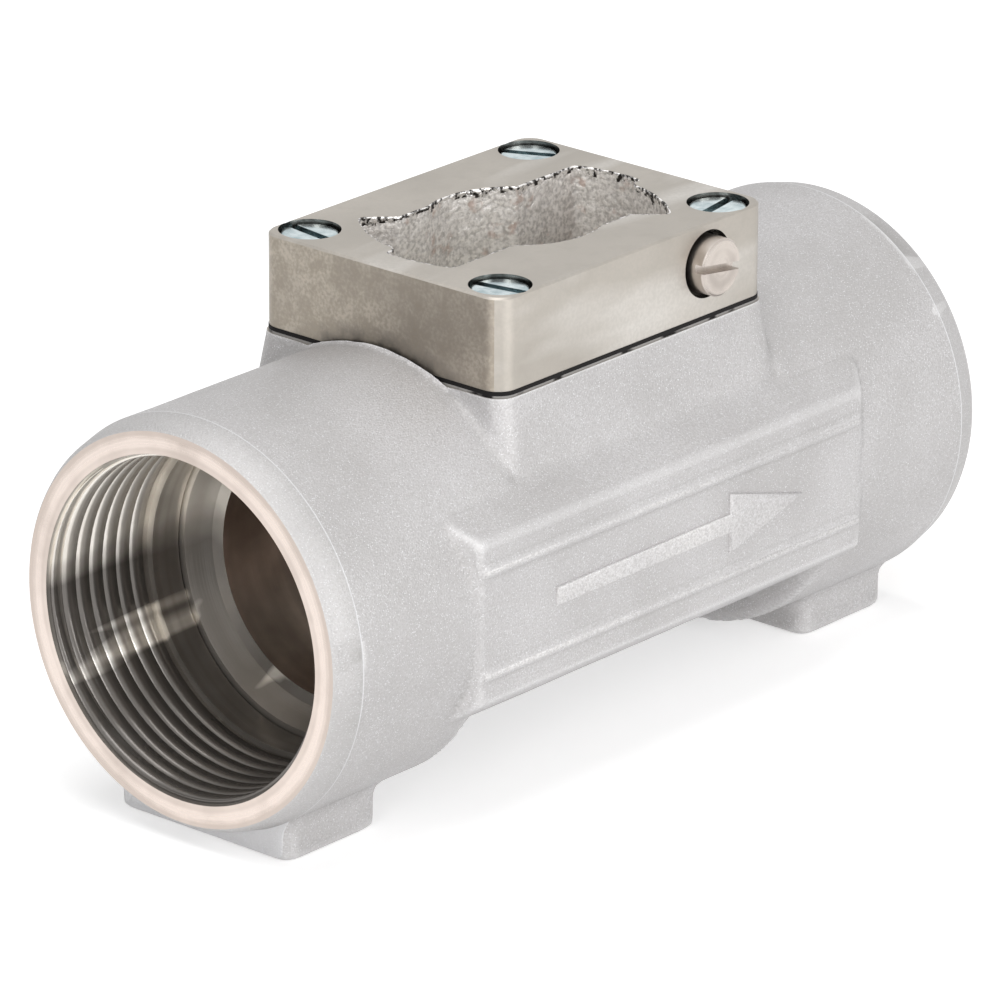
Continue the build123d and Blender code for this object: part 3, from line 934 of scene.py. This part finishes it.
def round_corners(piece, radius):
    """Rounds a block's upright edges."""
    work = opened(piece.data)
    runs = [(e, (e.verts[0].co - e.verts[1].co).normalized()) for e in work.edges]
    round_edges(work, [e for e, run in runs if abs(run.z) > upright], radius, corner_steps)
    written(work, piece.data)
    return piece


def applied(piece):
    """Turns a piece with modifiers into a plain mesh."""
    bpy.context.view_layer.update()
    graph = bpy.context.evaluated_depsgraph_get()
    mesh = bpy.data.meshes.new_from_object(piece.evaluated_get(graph))
    piece.modifiers.clear()
    old = piece.data
    piece.data = mesh
    bpy.data.meshes.remove(old)
    return piece


def cut(piece, tools):
    """Cuts solids out of a piece and removes the cutters."""
    for tool in tools:
        step = piece.modifiers.new("cut", "BOOLEAN")
        step.operation = "DIFFERENCE"
        step.solver = "MANIFOLD"
        step.object = tool
        applied(piece)
        bpy.data.objects.remove(tool)
    return piece


print("Corner steps:", corner_steps)

# %% Joining and dressing
def joined(pieces, name):
    """One object from several, by their meshes."""
    work = opened(*[piece.data for piece in pieces])
    for piece in pieces:
        bpy.data.objects.remove(piece)
    return from_bmesh(name, work)


def smooth_by_angle(piece, degrees=32):
    """Smooth shading with edges kept sharp past an angle and between finishes."""
    piece.data.shade_smooth()
    piece.data.set_sharp_from_angle(angle=radians(degrees))
    work = opened(piece.data)
    for edge in work.edges:
        if len({face.material_index for face in edge.link_faces}) > 1:
            edge.smooth = False
    written(work, piece.data)
    return piece


def dress(piece, *materials):
    """Gives a piece its materials in order."""
    if len(piece.data.materials):
        piece.data.materials.clear()
    for material in materials:
        piece.data.materials.append(material)
    return piece


def ride_as(piece, body):
    """Puts a piece on a body."""
    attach(piece, body)


# %% [markdown]
# ## The soft casting
# A sand casting has no sharp corner: every edge is a little round and every inner corner is filled.
# Hundreds of bevels could do that, but they fail where blends meet. Here the CAD body is copied, its
# holes are filled, and the faces that get machined are left a little proud. An even remesh and a few
# rounds of smoothing then round it all over. The barrels and the side panels are set true again, and
# a slight waviness is added, as sand leaves it.

# %% Casting sizes
voxel_size = 0.56
soft_factor, soft_rounds = 0.5, 4
end_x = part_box("fitting_body")[1].x / MM
axis_z = 27.0
neck_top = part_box("flange_gasket")[0].z / MM
barrel_radius, barrel_start = 25.4, 26
panel_face, panel_end = 25.6, 36
snap_reach = 0.14
screw_names = [f"flange_screw_{number}" for number in (1, 2, 3, 4)]


def middle_of(node):
    """The middle of a CAD node's box in mm."""
    low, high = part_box(node)
    return (low + high) / 2 / MM


screw_middles = [middle_of(name) for name in screw_names]
print("Pipe end at", round(end_x, 2), "mm, neck top at", round(neck_top, 2), "mm")

# %% Fill and round the casting
bore_fill, socket_fill, hole_fill = 21.9, 14.7, 2.3
neck_proud, neck_corner = 0.15, 2.6
neck_overlap, neck_extra = 0.4, 4
slow_wave, slow_height = 90, 0.05
fast_wave, fast_height = 320, 0.02


def filled_blank():
    """The CAD body with its holes filled and the faces that get machined left proud."""
    pieces = [merged_copy("fitting_body", "blank")]
    outside, inside = -end_x - 4, -end_x + 6
    bar = [(outside, 0), (outside, 25.4), (inside, 25.4), (inside, bore_fill), (0, bore_fill)]
    bar = bar + [(-a, r) for a, r in reversed(bar[:-1])]
    pieces.append(move_mesh(lathe("pipe_fill", bar, "X", 96), z=axis_z))
    above = neck_top + 1
    plug = [(axis_z, 0), (axis_z, socket_fill), (above, socket_fill), (above, 0)]
    pieces.append(lathe("socket_fill", plug, "Z", 64))
    for spot in screw_middles:
        plug = [(40, 0), (40, hole_fill), (above, hole_fill), (above, 0)]
        pieces.append(move_mesh(lathe("hole_fill", plug, "Z", 24), spot.x, spot.y))
    low, high = ([v / MM for v in corner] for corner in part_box("flange_gasket"))
    low = (low[0] - neck_proud, low[1] - neck_proud, neck_top - neck_overlap)
    high = (high[0] + neck_proud, high[1] + neck_proud, neck_top + neck_extra)
    pieces.append(round_corners(block("neck_fill", low, high), neck_corner))
    return joined(pieces, "pipe_casting")


def even_out(piece):
    """Takes the steps of the remesh out of the barrels and the side panels."""
    for vertex in piece.data.vertices:
        x, y, z = (v / MM for v in vertex.co)
        radius = hypot(y, z - axis_z)
        if abs(x) > barrel_start and abs(radius - barrel_radius) < snap_reach:
            y, z = y * barrel_radius / radius, axis_z + (z - axis_z) * barrel_radius / radius
        elif abs(abs(y) - panel_face) < snap_reach and abs(x) < panel_end:
            y = panel_face if y > 0 else -panel_face
        vertex.co = (x * MM, y * MM, z * MM)


def add_waviness(piece):
    """Moves the skin in and out by a few hundredths of a millimetre, as sand leaves it."""
    normals = [vertex.normal.copy() for vertex in piece.data.vertices]
    for vertex, normal in zip(piece.data.vertices, normals):
        slow = noise.noise(vertex.co * slow_wave) * slow_height
        fast = noise.noise(vertex.co * fast_wave) * fast_height
        vertex.co += normal * (slow + fast) * MM


casting = filled_blank()
even = casting.modifiers.new("even_mesh", "REMESH")
even.mode = "VOXEL"
even.voxel_size = voxel_size * MM
soft = casting.modifiers.new("soft", "SMOOTH")
soft.factor = soft_factor
soft.iterations = soft_rounds
applied(casting)
even_out(casting)
add_waviness(casting)
print("Soft casting:", len(casting.data.polygons), "faces")

# %% [markdown]
# ## Machined faces and bores
# Cutters leave crisp edges where they have been: on the pipe ends and their bands, in the bores, and
# on the neck and the feet. These could be kept from the CAD body, but then they would not meet the
# softened skin. So they are cut again with booleans, which join the two exactly, and each cut face is
# known by its place and gets its tool's finish.

# %% Cutter profiles
thread_radius = 20.955
thread_end = end_x - 17.0
relief_radius, relief_end = 20.1, thread_end - 4.5
groove_radius, groove_end = 20.45, relief_end - 0.35
seat_start_radius, seat_end_radius = 19.4, 17.4
seat_end = groove_end - 2.7
flow_radius = 16.0
face_radius = 24.2


def pipe_bore_profile():
    """One pipe end from outside in, as place along the axis and radius."""
    return [
        (end_x + 3, 0),
        (end_x + 3, 22.2),
        (end_x - 1.2, thread_radius),
        (thread_end, thread_radius),
        (thread_end, relief_radius),
        (relief_end, relief_radius),
        (relief_end, groove_radius),
        (groove_end, groove_radius),
        (groove_end, seat_start_radius),
        (seat_end, seat_end_radius),
        (seat_end - 0.4, flow_radius),
        (seat_end - 2.0, flow_radius),
        (seat_end - 2.0, 0),
    ]


def band_profile():
    """The cutter that turns the outside of a pipe end slightly conical."""
    return [
        (end_x - band_length, barrel_radius + 0.02),
        (end_x - 1.0, face_radius + 0.55),
        (end_x - 0.3, face_radius + 0.15),
        (end_x + 0.2, face_radius - 0.3),
        (end_x + 3, face_radius - 0.3),
        (end_x + 3, barrel_radius + 4),
        (end_x - band_length, barrel_radius + 4),
    ]


def mirrored(profile):
    """A profile for the left pipe end."""
    return [(-a, r) for a, r in reversed(profile)]


print("Thread", round(end_x - thread_end, 1), "mm deep, seat ends at", round(seat_end, 2), "mm")

# %% Cut the casting
wide = 40.0
pocket_half = 24.95
socket_radius, socket_depth, well_radius = 14.45, 3.0, 11.0
screw_hole_radius, screw_hole_end = 2.0, 42.3


def facing_cutters():
    """Blocks that face the two pipe ends, the feet and the neck."""
    return [
        block("left_facing", (-end_x - 5, -wide, -wide), (-end_x, wide, 3 * wide)),
        block("right_facing", (end_x, -wide, -wide), (end_x + 5, wide, 3 * wide)),
        block("foot_facing", (-70, -wide, -9), (70, wide, 0.01)),
        block("neck_facing", (-pocket_half, -wide, neck_top), (pocket_half, wide, neck_top + 9)),
    ]


def pipe_cutters():
    """The bands, the bores and the flow passage along the pipe."""
    bore, band = pipe_bore_profile(), band_profile()
    reach = seat_end - 1.0
    flow = [(-reach, 0), (-reach, flow_radius), (reach, flow_radius), (reach, 0)]
    tools = [
        lathe("right_band", band, ring=True),
        lathe("left_band", [(-a, r) for a, r in band], ring=True),
        lathe("right_bore", bore),
        lathe("left_bore", mirrored(bore)),
        lathe("flow_bore", flow),
    ]
    return [move_mesh(tool, z=axis_z) for tool in tools]


def neck_cutters():
    """The holder's socket and the four screw holes in the neck."""
    above, seat = neck_top + 1, neck_top - socket_depth
    socket = [(axis_z, 0), (axis_z, well_radius), (seat, well_radius)]
    socket = socket + [(seat, socket_radius), (above, socket_radius), (above, 0)]
    tools = [lathe("socket", socket, "Z")]
    hole = [(screw_hole_end, 0), (screw_hole_end, screw_hole_radius)]
    hole = hole + [(above, screw_hole_radius), (above, 0)]
    for spot in screw_middles:
        tools.append(move_mesh(lathe("screw_hole", hole, "Z", 48), spot.x, spot.y))
    return tools


cut(casting, facing_cutters() + pipe_cutters() + neck_cutters())
print("Cut casting:", len(casting.data.polygons), "faces")

# %% Finish the casting
skin_slot, end_slot, bore_slot, flow_slot, milled_slot = range(5)


def finish_of(face):
    """Which finish a face of the casting has, by the tool that made it."""
    x, y, z = (v / MM for v in face.center)
    radius = hypot(y, z - axis_z)
    inward = face.normal.y * y + face.normal.z * (z - axis_z) < 0.001
    if abs(abs(x) - end_x) < 0.02 and abs(face.normal.x) > 0.9:
        return end_slot
    if radius < 22.3 and abs(x) > seat_end + 0.1 and inward:
        return bore_slot
    if radius < 20.5 and abs(x) > seat_end - 0.5:
        return bore_slot
    if radius < flow_radius + 0.3:
        return flow_slot
    if z > neck_top - 8 and abs(x) < 24 and hypot(x, y) < 14.6:
        return milled_slot
    if abs(z - neck_top) < 0.02 and face.normal.z > 0.9 and abs(x) < pocket_half - 0.1:
        return milled_slot
    return skin_slot


dress(casting, cast_steel_material, turned_end, bored_steel, flow_steel, milled)
for face in casting.data.polygons:
    face.material_index = finish_of(face)
smooth_by_angle(casting)
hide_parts("fitting_body")
ride_as(casting, "fitting")
machined = [face for face in casting.data.polygons if face.material_index != skin_slot]
print("Casting:", len(casting.data.polygons), "faces, machined:", len(machined))

# %% [markdown]
# ## Ribs and a flow arrow
# Two thin cast ribs run along each side panel, and between them a raised arrow shows which way the
# flow goes. They are thinner than the remesh's cells and would melt away in it. They could be a bump
# in the material, but an edge that stands out catches the light from every side. So each is a low
# bar with soft edges, rooted in the panel.

# %% Ribs and arrow
rib_top = -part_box("fitting_body")[0].y / MM
rib_offset, rib_reach, rib_width = 6.5, 35.0, 0.8
relief_root, relief_short, relief_round = 0.3, 0.02, 0.3
arrow = [(-22, -1.2), (10, -1.2), (10, -3.9), (24, 0), (10, 3.9), (10, 1.2), (-22, 1.2)]


def soft_relief(name, outline, side):
    """A raised outline on a side panel, with rounded edges; side is -1 in front and 1 behind."""
    work = bmesh.new()
    root = side * (panel_face - relief_root) * MM
    rise = side * (rib_top - relief_short - panel_face + relief_root) * MM
    face = work.faces.new([work.verts.new((x * MM, root, (axis_z + z) * MM)) for x, z in outline])
    grown = bmesh.ops.extrude_face_region(work, geom=[face])["geom"]
    moved = [v for v in grown if isinstance(v, bmesh.types.BMVert)]
    bmesh.ops.translate(work, verts=moved, vec=(0, rise, 0))
    outer = [e for e in work.edges if all(v in moved for v in e.verts)]
    round_edges(work, outer, relief_round, 3)
    bmesh.ops.recalc_face_normals(work, faces=work.faces)
    return from_bmesh(name, work)


def rib_outline(level):
    """A long thin rectangle at a height above the pipe axis."""
    low, high = level - rib_width / 2, level + rib_width / 2
    return [(-rib_reach, low), (rib_reach, low), (rib_reach, high), (-rib_reach, high)]


relief = []
for side in (-1, 1):
    for level in (-rib_offset, rib_offset):
        relief.append(soft_relief("rib", rib_outline(level), side))
    relief.append(soft_relief("arrow", arrow, side))
panel_relief = smooth_by_angle(joined(relief, "panel_relief"), 60)
dress(panel_relief, lit_relief_material)
ride_as(panel_relief, "fitting")
print("Panel relief:", len(panel_relief.data.polygons), "faces")

# %% [markdown]
# ## Geometry Nodes
# What repeats is grown by a node tree: the turns of a thread, and the four equal screws. Loops in the
# script could place the same points, but a tree with named inputs can be given to another mesh or
# changed by hand later. The tree ends in real geometry, since instances don't reach the export, and
# its result is kept as a plain mesh.

# %% Node tree helpers
def new_tree(name, inputs):
    """A geometry tree with a geometry input and output and named inputs."""
    tree = bpy.data.node_groups.new(name, "GeometryNodeTree")
    tree.interface.new_socket("Geometry", in_out="INPUT", socket_type="NodeSocketGeometry")
    for label, kind in inputs.items():
        tree.interface.new_socket(label, in_out="INPUT", socket_type="NodeSocket" + kind)
    tree.interface.new_socket("Geometry", in_out="OUTPUT", socket_type="NodeSocketGeometry")
    return tree, tree.nodes.new("NodeGroupInput").outputs, tree.nodes.new("NodeGroupOutput").inputs


def finish_tree(tree, given, out, geometry):
    """Ends a tree with real geometry and its material."""
    real = add_node(tree, "GeometryNodeRealizeInstances", Geometry=geometry).outputs[0]
    paint = {"Geometry": real, "Material": given["Material"]}
    feed(tree, out[0], add_node(tree, "GeometryNodeSetMaterial", **paint).outputs[0])


def grown(name, mesh, tree, **values):
    """Runs a tree on a mesh with its inputs set by name, and keeps the result as a mesh."""
    piece = new_object(name, mesh)
    step = piece.modifiers.new("grow", "NODES")
    step.node_group = tree
    for item in tree.interface.items_tree:
        label = item.name.replace(" ", "_")
        if item.in_out == "INPUT" and label in values:
            step[item.identifier] = values[label]
    return applied(piece)


print("Node groups so far:", len(bpy.data.node_groups))

# %% [markdown]
# ## Pipe threads
# The thread in each pipe end is one ridge that winds round the bore, with rounded crests and a pitch of
# eleven turns to the inch. It could be cut with a spiral cutter, but booleans on a fine spiral are
# slow and break easily. So its section is swept along a spiral and sits on the plain bore. It fades in
# and out at both ends, as a tap leaves it.

# %% Thread tree
thread_pitch, thread_turns = 2.309, 6.9
thread_steps, thread_fade, thread_least = 96, 0.05, 0.05
ridge = [(-1.14, 0.25), (-1.10, 0.02), (-0.98, -0.22), (-0.66, -1.06), (-0.56, -1.22)]
ridge = ridge + [(-0.40, -1.31), (0, -1.34)]
ridge = ridge + [(-a, b) for a, b in reversed(ridge[:-1])]


def faded_size(tree, fade):
    """The ridge's size along the spiral: full, but small at both ends."""
    along = tree.nodes.new("GeometryNodeSplineParameter").outputs["Factor"]
    near = math_node(tree, "MINIMUM", along, math_node(tree, "SUBTRACT", 1.0, along))
    size = math_node(tree, "MINIMUM", math_node(tree, "DIVIDE", near, fade), 1.0)
    return math_node(tree, "MAXIMUM", size, thread_least)


def thread_tree():
    """Sweeps a ridge section along a spiral that fades in and out of the wall."""
    sizes = {"Pitch": "Float", "Turns": "Float", "Radius": "Float", "Steps per turn": "Int"}
    tree, given, out = new_tree("pipe_thread", {**sizes, "Fade": "Float", "Material": "Material"})
    height = math_node(tree, "MULTIPLY", given["Pitch"], given["Turns"])
    line = {"Rotations": given["Turns"], "Resolution": given["Steps per turn"], "Height": height}
    line = {**line, "Start Radius": given["Radius"], "End Radius": given["Radius"]}
    spiral = add_node(tree, "GeometryNodeCurveSpiral", **line)
    level = tree.nodes.new("GeometryNodeSetCurveNormal")
    level.mode = "Z_UP"
    feed(tree, level.inputs["Curve"], spiral.outputs[0])
    section = add_node(tree, "GeometryNodeMeshToCurve", Mesh=given["Geometry"])
    sweep = {"Curve": level.outputs[0], "Profile Curve": section.outputs[0]}
    sweep = {**sweep, "Scale": faded_size(tree, given["Fade"]), "Fill Caps": True}
    swept = add_node(tree, "GeometryNodeCurveToMesh", **sweep)
    smooth = add_node(tree, "GeometryNodeSetShadeSmooth", Geometry=swept.outputs[0])
    finish_tree(tree, given, out, smooth.outputs[0])
    return tree


pipe_thread = thread_tree()
print("Thread tree:", len(pipe_thread.nodes), "nodes, ridge of", len(ridge), "points")

# %% Grow the threads
thread_start = 0.5


def ridge_mesh():
    """The ridge section as a closed line: across the thread, and out from the axis."""
    mesh = bpy.data.meshes.new("ridge_section")
    points = [(away * MM, along * MM, 0) for along, away in ridge]
    mesh.from_pydata(points, [(i, (i + 1) % len(points)) for i in range(len(points))], [])
    return mesh


thread_inputs = {
    "Pitch": thread_pitch * MM,
    "Turns": thread_turns,
    "Radius": thread_radius * MM,
    "Steps_per_turn": thread_steps,
    "Fade": thread_fade,
    "Material": thread_steel,
}
for name, side in (("inlet_thread_turns", -1), ("outlet_thread_turns", 1)):
    turns = grown(name, ridge_mesh(), pipe_thread, **thread_inputs)
    turns.data.transform(Matrix.Rotation(side * pi / 2, 4, "Y"))
    move_mesh(turns, x=side * (thread_end + thread_start), z=axis_z)
    reach = [hypot(v.co.y, v.co.z - axis_z * MM) / MM for v in turns.data.vertices]
    print(name, "radius", round(min(reach), 2), "to", round(max(reach), 2), "mm")
    ride_as(turns, "fitting")

# %% [markdown]
# ## The bayonet flange
# The block on top is milled from bar, with four screw seats and a recess for the locking screw. Its
# edges are crisp on the real part too, so it needs no new shape. It is copied from the CAD with its
# triangles joined, which allows smooth shading, and the walls of the seats and of the recess get a
# dark finish, which is painted shade.

# %% Flange
seat_reach, recess_reach = 4.2, 4.4
lock_spot = middle_of("locking_screw")


def near_screw(spot):
    """Whether a place lies at one of the screw seats."""
    return any(hypot(spot.x - m.x, spot.y - m.y) < seat_reach for m in screw_middles)


def near_lock(spot):
    """Whether a place lies in the locking screw's recess."""
    return hypot(spot.x - lock_spot.x, spot.z - lock_spot.z) < recess_reach


def finished_copy(node, name, body, slot_name, *materials):
    """A CAD node copied, joined, smooth shaded and dressed, in the node's place."""
    piece = dress(smooth_by_angle(merged_copy(node, name)), *materials)
    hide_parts(node)
    ride_as(piece, body)
    return piece


flange = finished_copy("bayonet_flange", "milled_flange", "fitting", "flange", milled, seat_steel)
for face in flange.data.polygons:
    corners = [flange.data.vertices[i].co / MM for i in face.vertices]
    in_seat = all(near_screw(v) for v in corners) and abs(face.normal.z) < 0.5
    in_recess = all(near_lock(v) for v in corners) and abs(face.normal.y) < 0.5
    face.material_index = int(in_seat or in_recess)
flange_bottom, flange_top = (corner.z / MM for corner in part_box("bayonet_flange"))
print("Flange:", round(flange_top - flange_bottom, 2), "mm high,", len(flange.data.polygons), "faces")

# %% [markdown]
# ## The opening's edge
# The opening's wall is left as it was cut, rough and torn. A lining can give it that look, but it has
# to follow the wall's outline. The outline could be written down again as arcs, but it is in the CAD
# already. So it is read from the flange: the edges between its top and an upright wall are put in
# order and set at even steps.

# %% Outline of the opening
opening_reach = 21.2
skin_step = 0.38


def wall_edges():
    """Edges of the opening between its wall and the flange's top."""
    work = opened(flange.data)
    found = []
    for edge in work.edges:
        a, b = (v.co / MM for v in edge.verts)
        on_top = min(a.z, b.z) > flange_top - 0.01
        inside = hypot(a.x, a.y) <= opening_reach and not near_screw(a)
        if not on_top or not inside or len(edge.link_faces) != 2:
            continue
        tilts = sorted(abs(f.normal.z) for f in edge.link_faces)
        if tilts[0] < 0.1 and tilts[1] > 0.9:
            found.append(((a.x, a.y), (b.x, b.y)))
    work.free()
    return found


def chained(edges):
    """Loose edges put in order round the loop."""
    links = {}
    for edge in edges:
        a, b = ((round(x, 3), round(y, 3)) for x, y in edge)
        links.setdefault(a, []).append(b)
        links.setdefault(b, []).append(a)
    loop = [next(iter(links))]
    while len(loop) < len(links):
        ahead = [p for p in links[loop[-1]] if p not in loop[-2:]]
        if not ahead:
            break
        loop.append(ahead[0])
    return loop


def even_loop(loop, gap):
    """The loop resampled at even steps."""
    points = loop + [loop[0]]
    places, carry = [], 0.0
    for (x0, y0), (x1, y1) in zip(points, points[1:]):
        length = hypot(x1 - x0, y1 - y0)
        at = carry
        while at < length:
            places.append((x0 + (x1 - x0) * at / length, y0 + (y1 - y0) * at / length))
            at += gap
        carry = at - length
    return places


opening_loop = even_loop(chained(wall_edges()), skin_step)
print("Opening's outline:", len(opening_loop), "points")

# %% [markdown]
# ## The rough lining
# The lining is a sheet of rings below each other, pushed inwards by noise. A displacement of the
# flange itself would need a far finer mesh all over it. The sheet keeps clear of the locking screw's
# hole, bulges a little at the rim, and its uppermost faces take the torn finish along a ragged line.

# %% Lining helpers
skin_levels, skin_crowding = 26, 1.25
lock_clear = 2.6
rim_inset, rim_root = 0.02, 0.05
skin_mean, skin_slow, skin_fast, skin_least = 0.16, 0.12, 0.07, 0.03
rim_bulge, rim_thinner = 0.22, 0.10
torn_depth, torn_rag = 0.45, 0.9


def inward_normals(loop):
    """Normals of the loop in the plane, toward the opening's inside."""
    after = loop[1:] + loop[:1]
    before = loop[-1:] + loop[:-1]
    area = sum(a[0] * b[1] - b[0] * a[1] for a, b in zip(loop, after))
    way = 1 if area > 0 else -1
    normals = []
    for (x0, y0), (x1, y1) in zip(before, after):
        length = hypot(x1 - x0, y1 - y0)
        normals.append((-(y1 - y0) / length * way, (x1 - x0) / length * way))
    return normals


def skin_depth(x, y, z, level):
    """How far the rough wall stands out from the cut one; the rim bulges in places."""
    spot = Vector((x, y, z))
    rough = skin_mean + skin_slow * noise.noise(spot * 0.9) + skin_fast * noise.noise(spot * 2.7)
    if level == 0:
        bulge = rim_bulge * max(0.0, noise.noise(Vector((x, y, 0)) * 1.6) + 0.35)
        rough = rough + bulge - rim_thinner
    return max(skin_least, rough)


def is_torn(x, y, z):
    """Whether a place lies above the ragged lower line of the torn rim."""
    rag = noise.noise(Vector((x, y, 0)) * 0.55) + 0.5 * noise.noise(Vector((x, y, 3)) * 1.9)
    return z > flange_top - torn_depth - torn_rag * max(0.0, rag)


opening_normals = inward_normals(opening_loop)
print("Lining levels:", skin_levels)

# %% Lining
def skin_points():
    """Rings of places down the wall, and one more ring rooted in the flange at the rim."""
    places = []
    drop = flange_top - flange_bottom - 0.1
    for level in range(skin_levels + 1):
        z = flange_top - rim_inset - drop * (level / skin_levels) ** skin_crowding
        for (x, y), (nx, ny) in zip(opening_loop, opening_normals):
            depth = skin_depth(x, y, z, level)
            places.append((x + nx * depth, y + ny * depth, z))
    for (x, y), (nx, ny) in zip(opening_loop, opening_normals):
        places.append((x - nx * rim_root, y - ny * rim_root, flange_top - rim_inset - 0.01))
    return places


def skin_faces(places):
    """Faces between the rings, and which of them are torn."""
    count = len(opening_loop)
    faces, torn = [], []
    for level in range(skin_levels):
        top, below = level * count, (level + 1) * count
        for i, (x, y) in enumerate(opening_loop):
            j = (i + 1) % count
            z = places[top + i][2]
            if hypot(x - lock_spot.x, z - lock_spot.z) < lock_clear and y < -5:
                continue
            faces.append((top + i, top + j, below + j, below + i))
            torn.append(is_torn(x, y, z))
    root = (skin_levels + 1) * count
    for i in range(count):
        j = (i + 1) % count
        faces.append((root + i, root + j, j, i))
        torn.append(True)
    return faces, torn


places = skin_points()
faces, torn = skin_faces(places)
skin_mesh = bpy.data.meshes.new("opening_skin")
skin_mesh.from_pydata([[v * MM for v in place] for place in places], [], faces)
skin_mesh.polygons.foreach_set("material_index", [int(t) for t in torn])
work = opened(skin_mesh)
bmesh.ops.recalc_face_normals(work, faces=work.faces)
skin = dress(new_object("opening_skin", written(work, skin_mesh)), rough_wall, burr)
skin.data.shade_smooth()
ride_as(skin, "fitting")
print("Lining:", len(faces), "faces, torn:", sum(torn))

# %% [markdown]
# ## Flange screws
# Four slotted screws hold the flange, each with its slot at an angle of its own, as hands leave them.
# Four copies could be turned one by one. Here one screw is turned on the lathe helper, its slot is
# cut, and a node tree sets it on four points that each carry an angle.

# %% Screw
head_radius, head_height, head_edge = 3.48, 2.6, 0.3
shank_radius, tip_length = 2.0, 0.6
slot_width, slot_depth = 1.2, 1.1
screw_angles = (-79.0, 82.0, 10.0, -64.0)
screw_bottom, screw_top = (corner.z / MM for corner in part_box(screw_names[0]))


def screw_blank(length):
    """A slotted cheese-head screw standing on its tip, its head's top at height nought."""
    profile = [
        (0, 0),
        (-0.02, head_radius * 0.25),
        (0, head_radius - head_edge * 1.3),
        (-head_edge * 0.3, head_radius - head_edge * 0.35),
        (-head_edge, head_radius),
        (-head_height + 0.15, head_radius),
        (-head_height, head_radius - 0.15),
        (-head_height, shank_radius),
        (-length + tip_length, shank_radius),
        (-length, shank_radius - 0.5),
        (-length, 0),
    ]
    reach, half = head_radius + 1, slot_width / 2
    slot = block("slot", (-reach, -half, -slot_depth), (reach, half, 1))
    return cut(lathe("screw", profile, "Z", 72), [slot])


screw = screw_blank(screw_top - screw_bottom)
print("Screw:", round(screw_top - screw_bottom, 2), "mm long,", len(screw.data.polygons), "faces")

# %% Set the screws
def screw_tree():
    """Sets one screw on every point, turned by the point's own angle."""
    tree, given, out = new_tree("screws_on_points", {"Screw": "Object", "Material": "Material"})
    shape = add_node(tree, "GeometryNodeObjectInfo", Object=given["Screw"])
    points = add_node(tree, "GeometryNodeMeshToPoints", Mesh=given["Geometry"])
    angle = tree.nodes.new("GeometryNodeInputNamedAttribute")
    angle.data_type = "FLOAT"
    angle.inputs["Name"].default_value = "turn"
    spin = add_node(tree, "ShaderNodeCombineXYZ", Z=angle.outputs["Attribute"])
    turn = add_node(tree, "FunctionNodeEulerToRotation", Euler=spin.outputs[0])
    setting = {"Points": points.outputs[0], "Instance": shape.outputs["Geometry"]}
    setting = {**setting, "Rotation": turn.outputs[0]}
    placed = add_node(tree, "GeometryNodeInstanceOnPoints", **setting)
    finish_tree(tree, given, out, placed.outputs[0])
    return tree


spots = bpy.data.meshes.new("screw_spots")
spots.from_pydata([(m.x * MM, m.y * MM, screw_top * MM) for m in screw_middles], [], [])
turns = spots.attributes.new("turn", "FLOAT", "POINT")
turns.data.foreach_set("value", [radians(angle) for angle in screw_angles])
flange_screws = grown("flange_screws", spots, screw_tree(), Screw=screw, Material=zinc)
bpy.data.objects.remove(screw)
smooth_by_angle(flange_screws)
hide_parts(*screw_names)
ride_as(flange_screws, "fitting")
print("Flange screws:", len(flange_screws.data.polygons), "faces")

# %% [markdown]
# ## Locking screw and gasket
# The locking screw sits in the flange's side and clamps the sensor's head. The gasket shows only as a
# dark line. Both have the right shape in the CAD, and modelling them again would add nothing. They
# are copied for smooth shading, and the screw rides on its own body, because it moves in and out.

# %% Locking screw and gasket
locking = finished_copy("locking_screw", "turned_locking_screw", "lock", "locking_screw", lock_steel)
gasket = finished_copy("flange_gasket", "flat_gasket", "fitting", "gasket", gasket_finish)
print("Locking screw:", len(locking.data.polygons), "faces, gasket:", len(gasket.data.polygons))
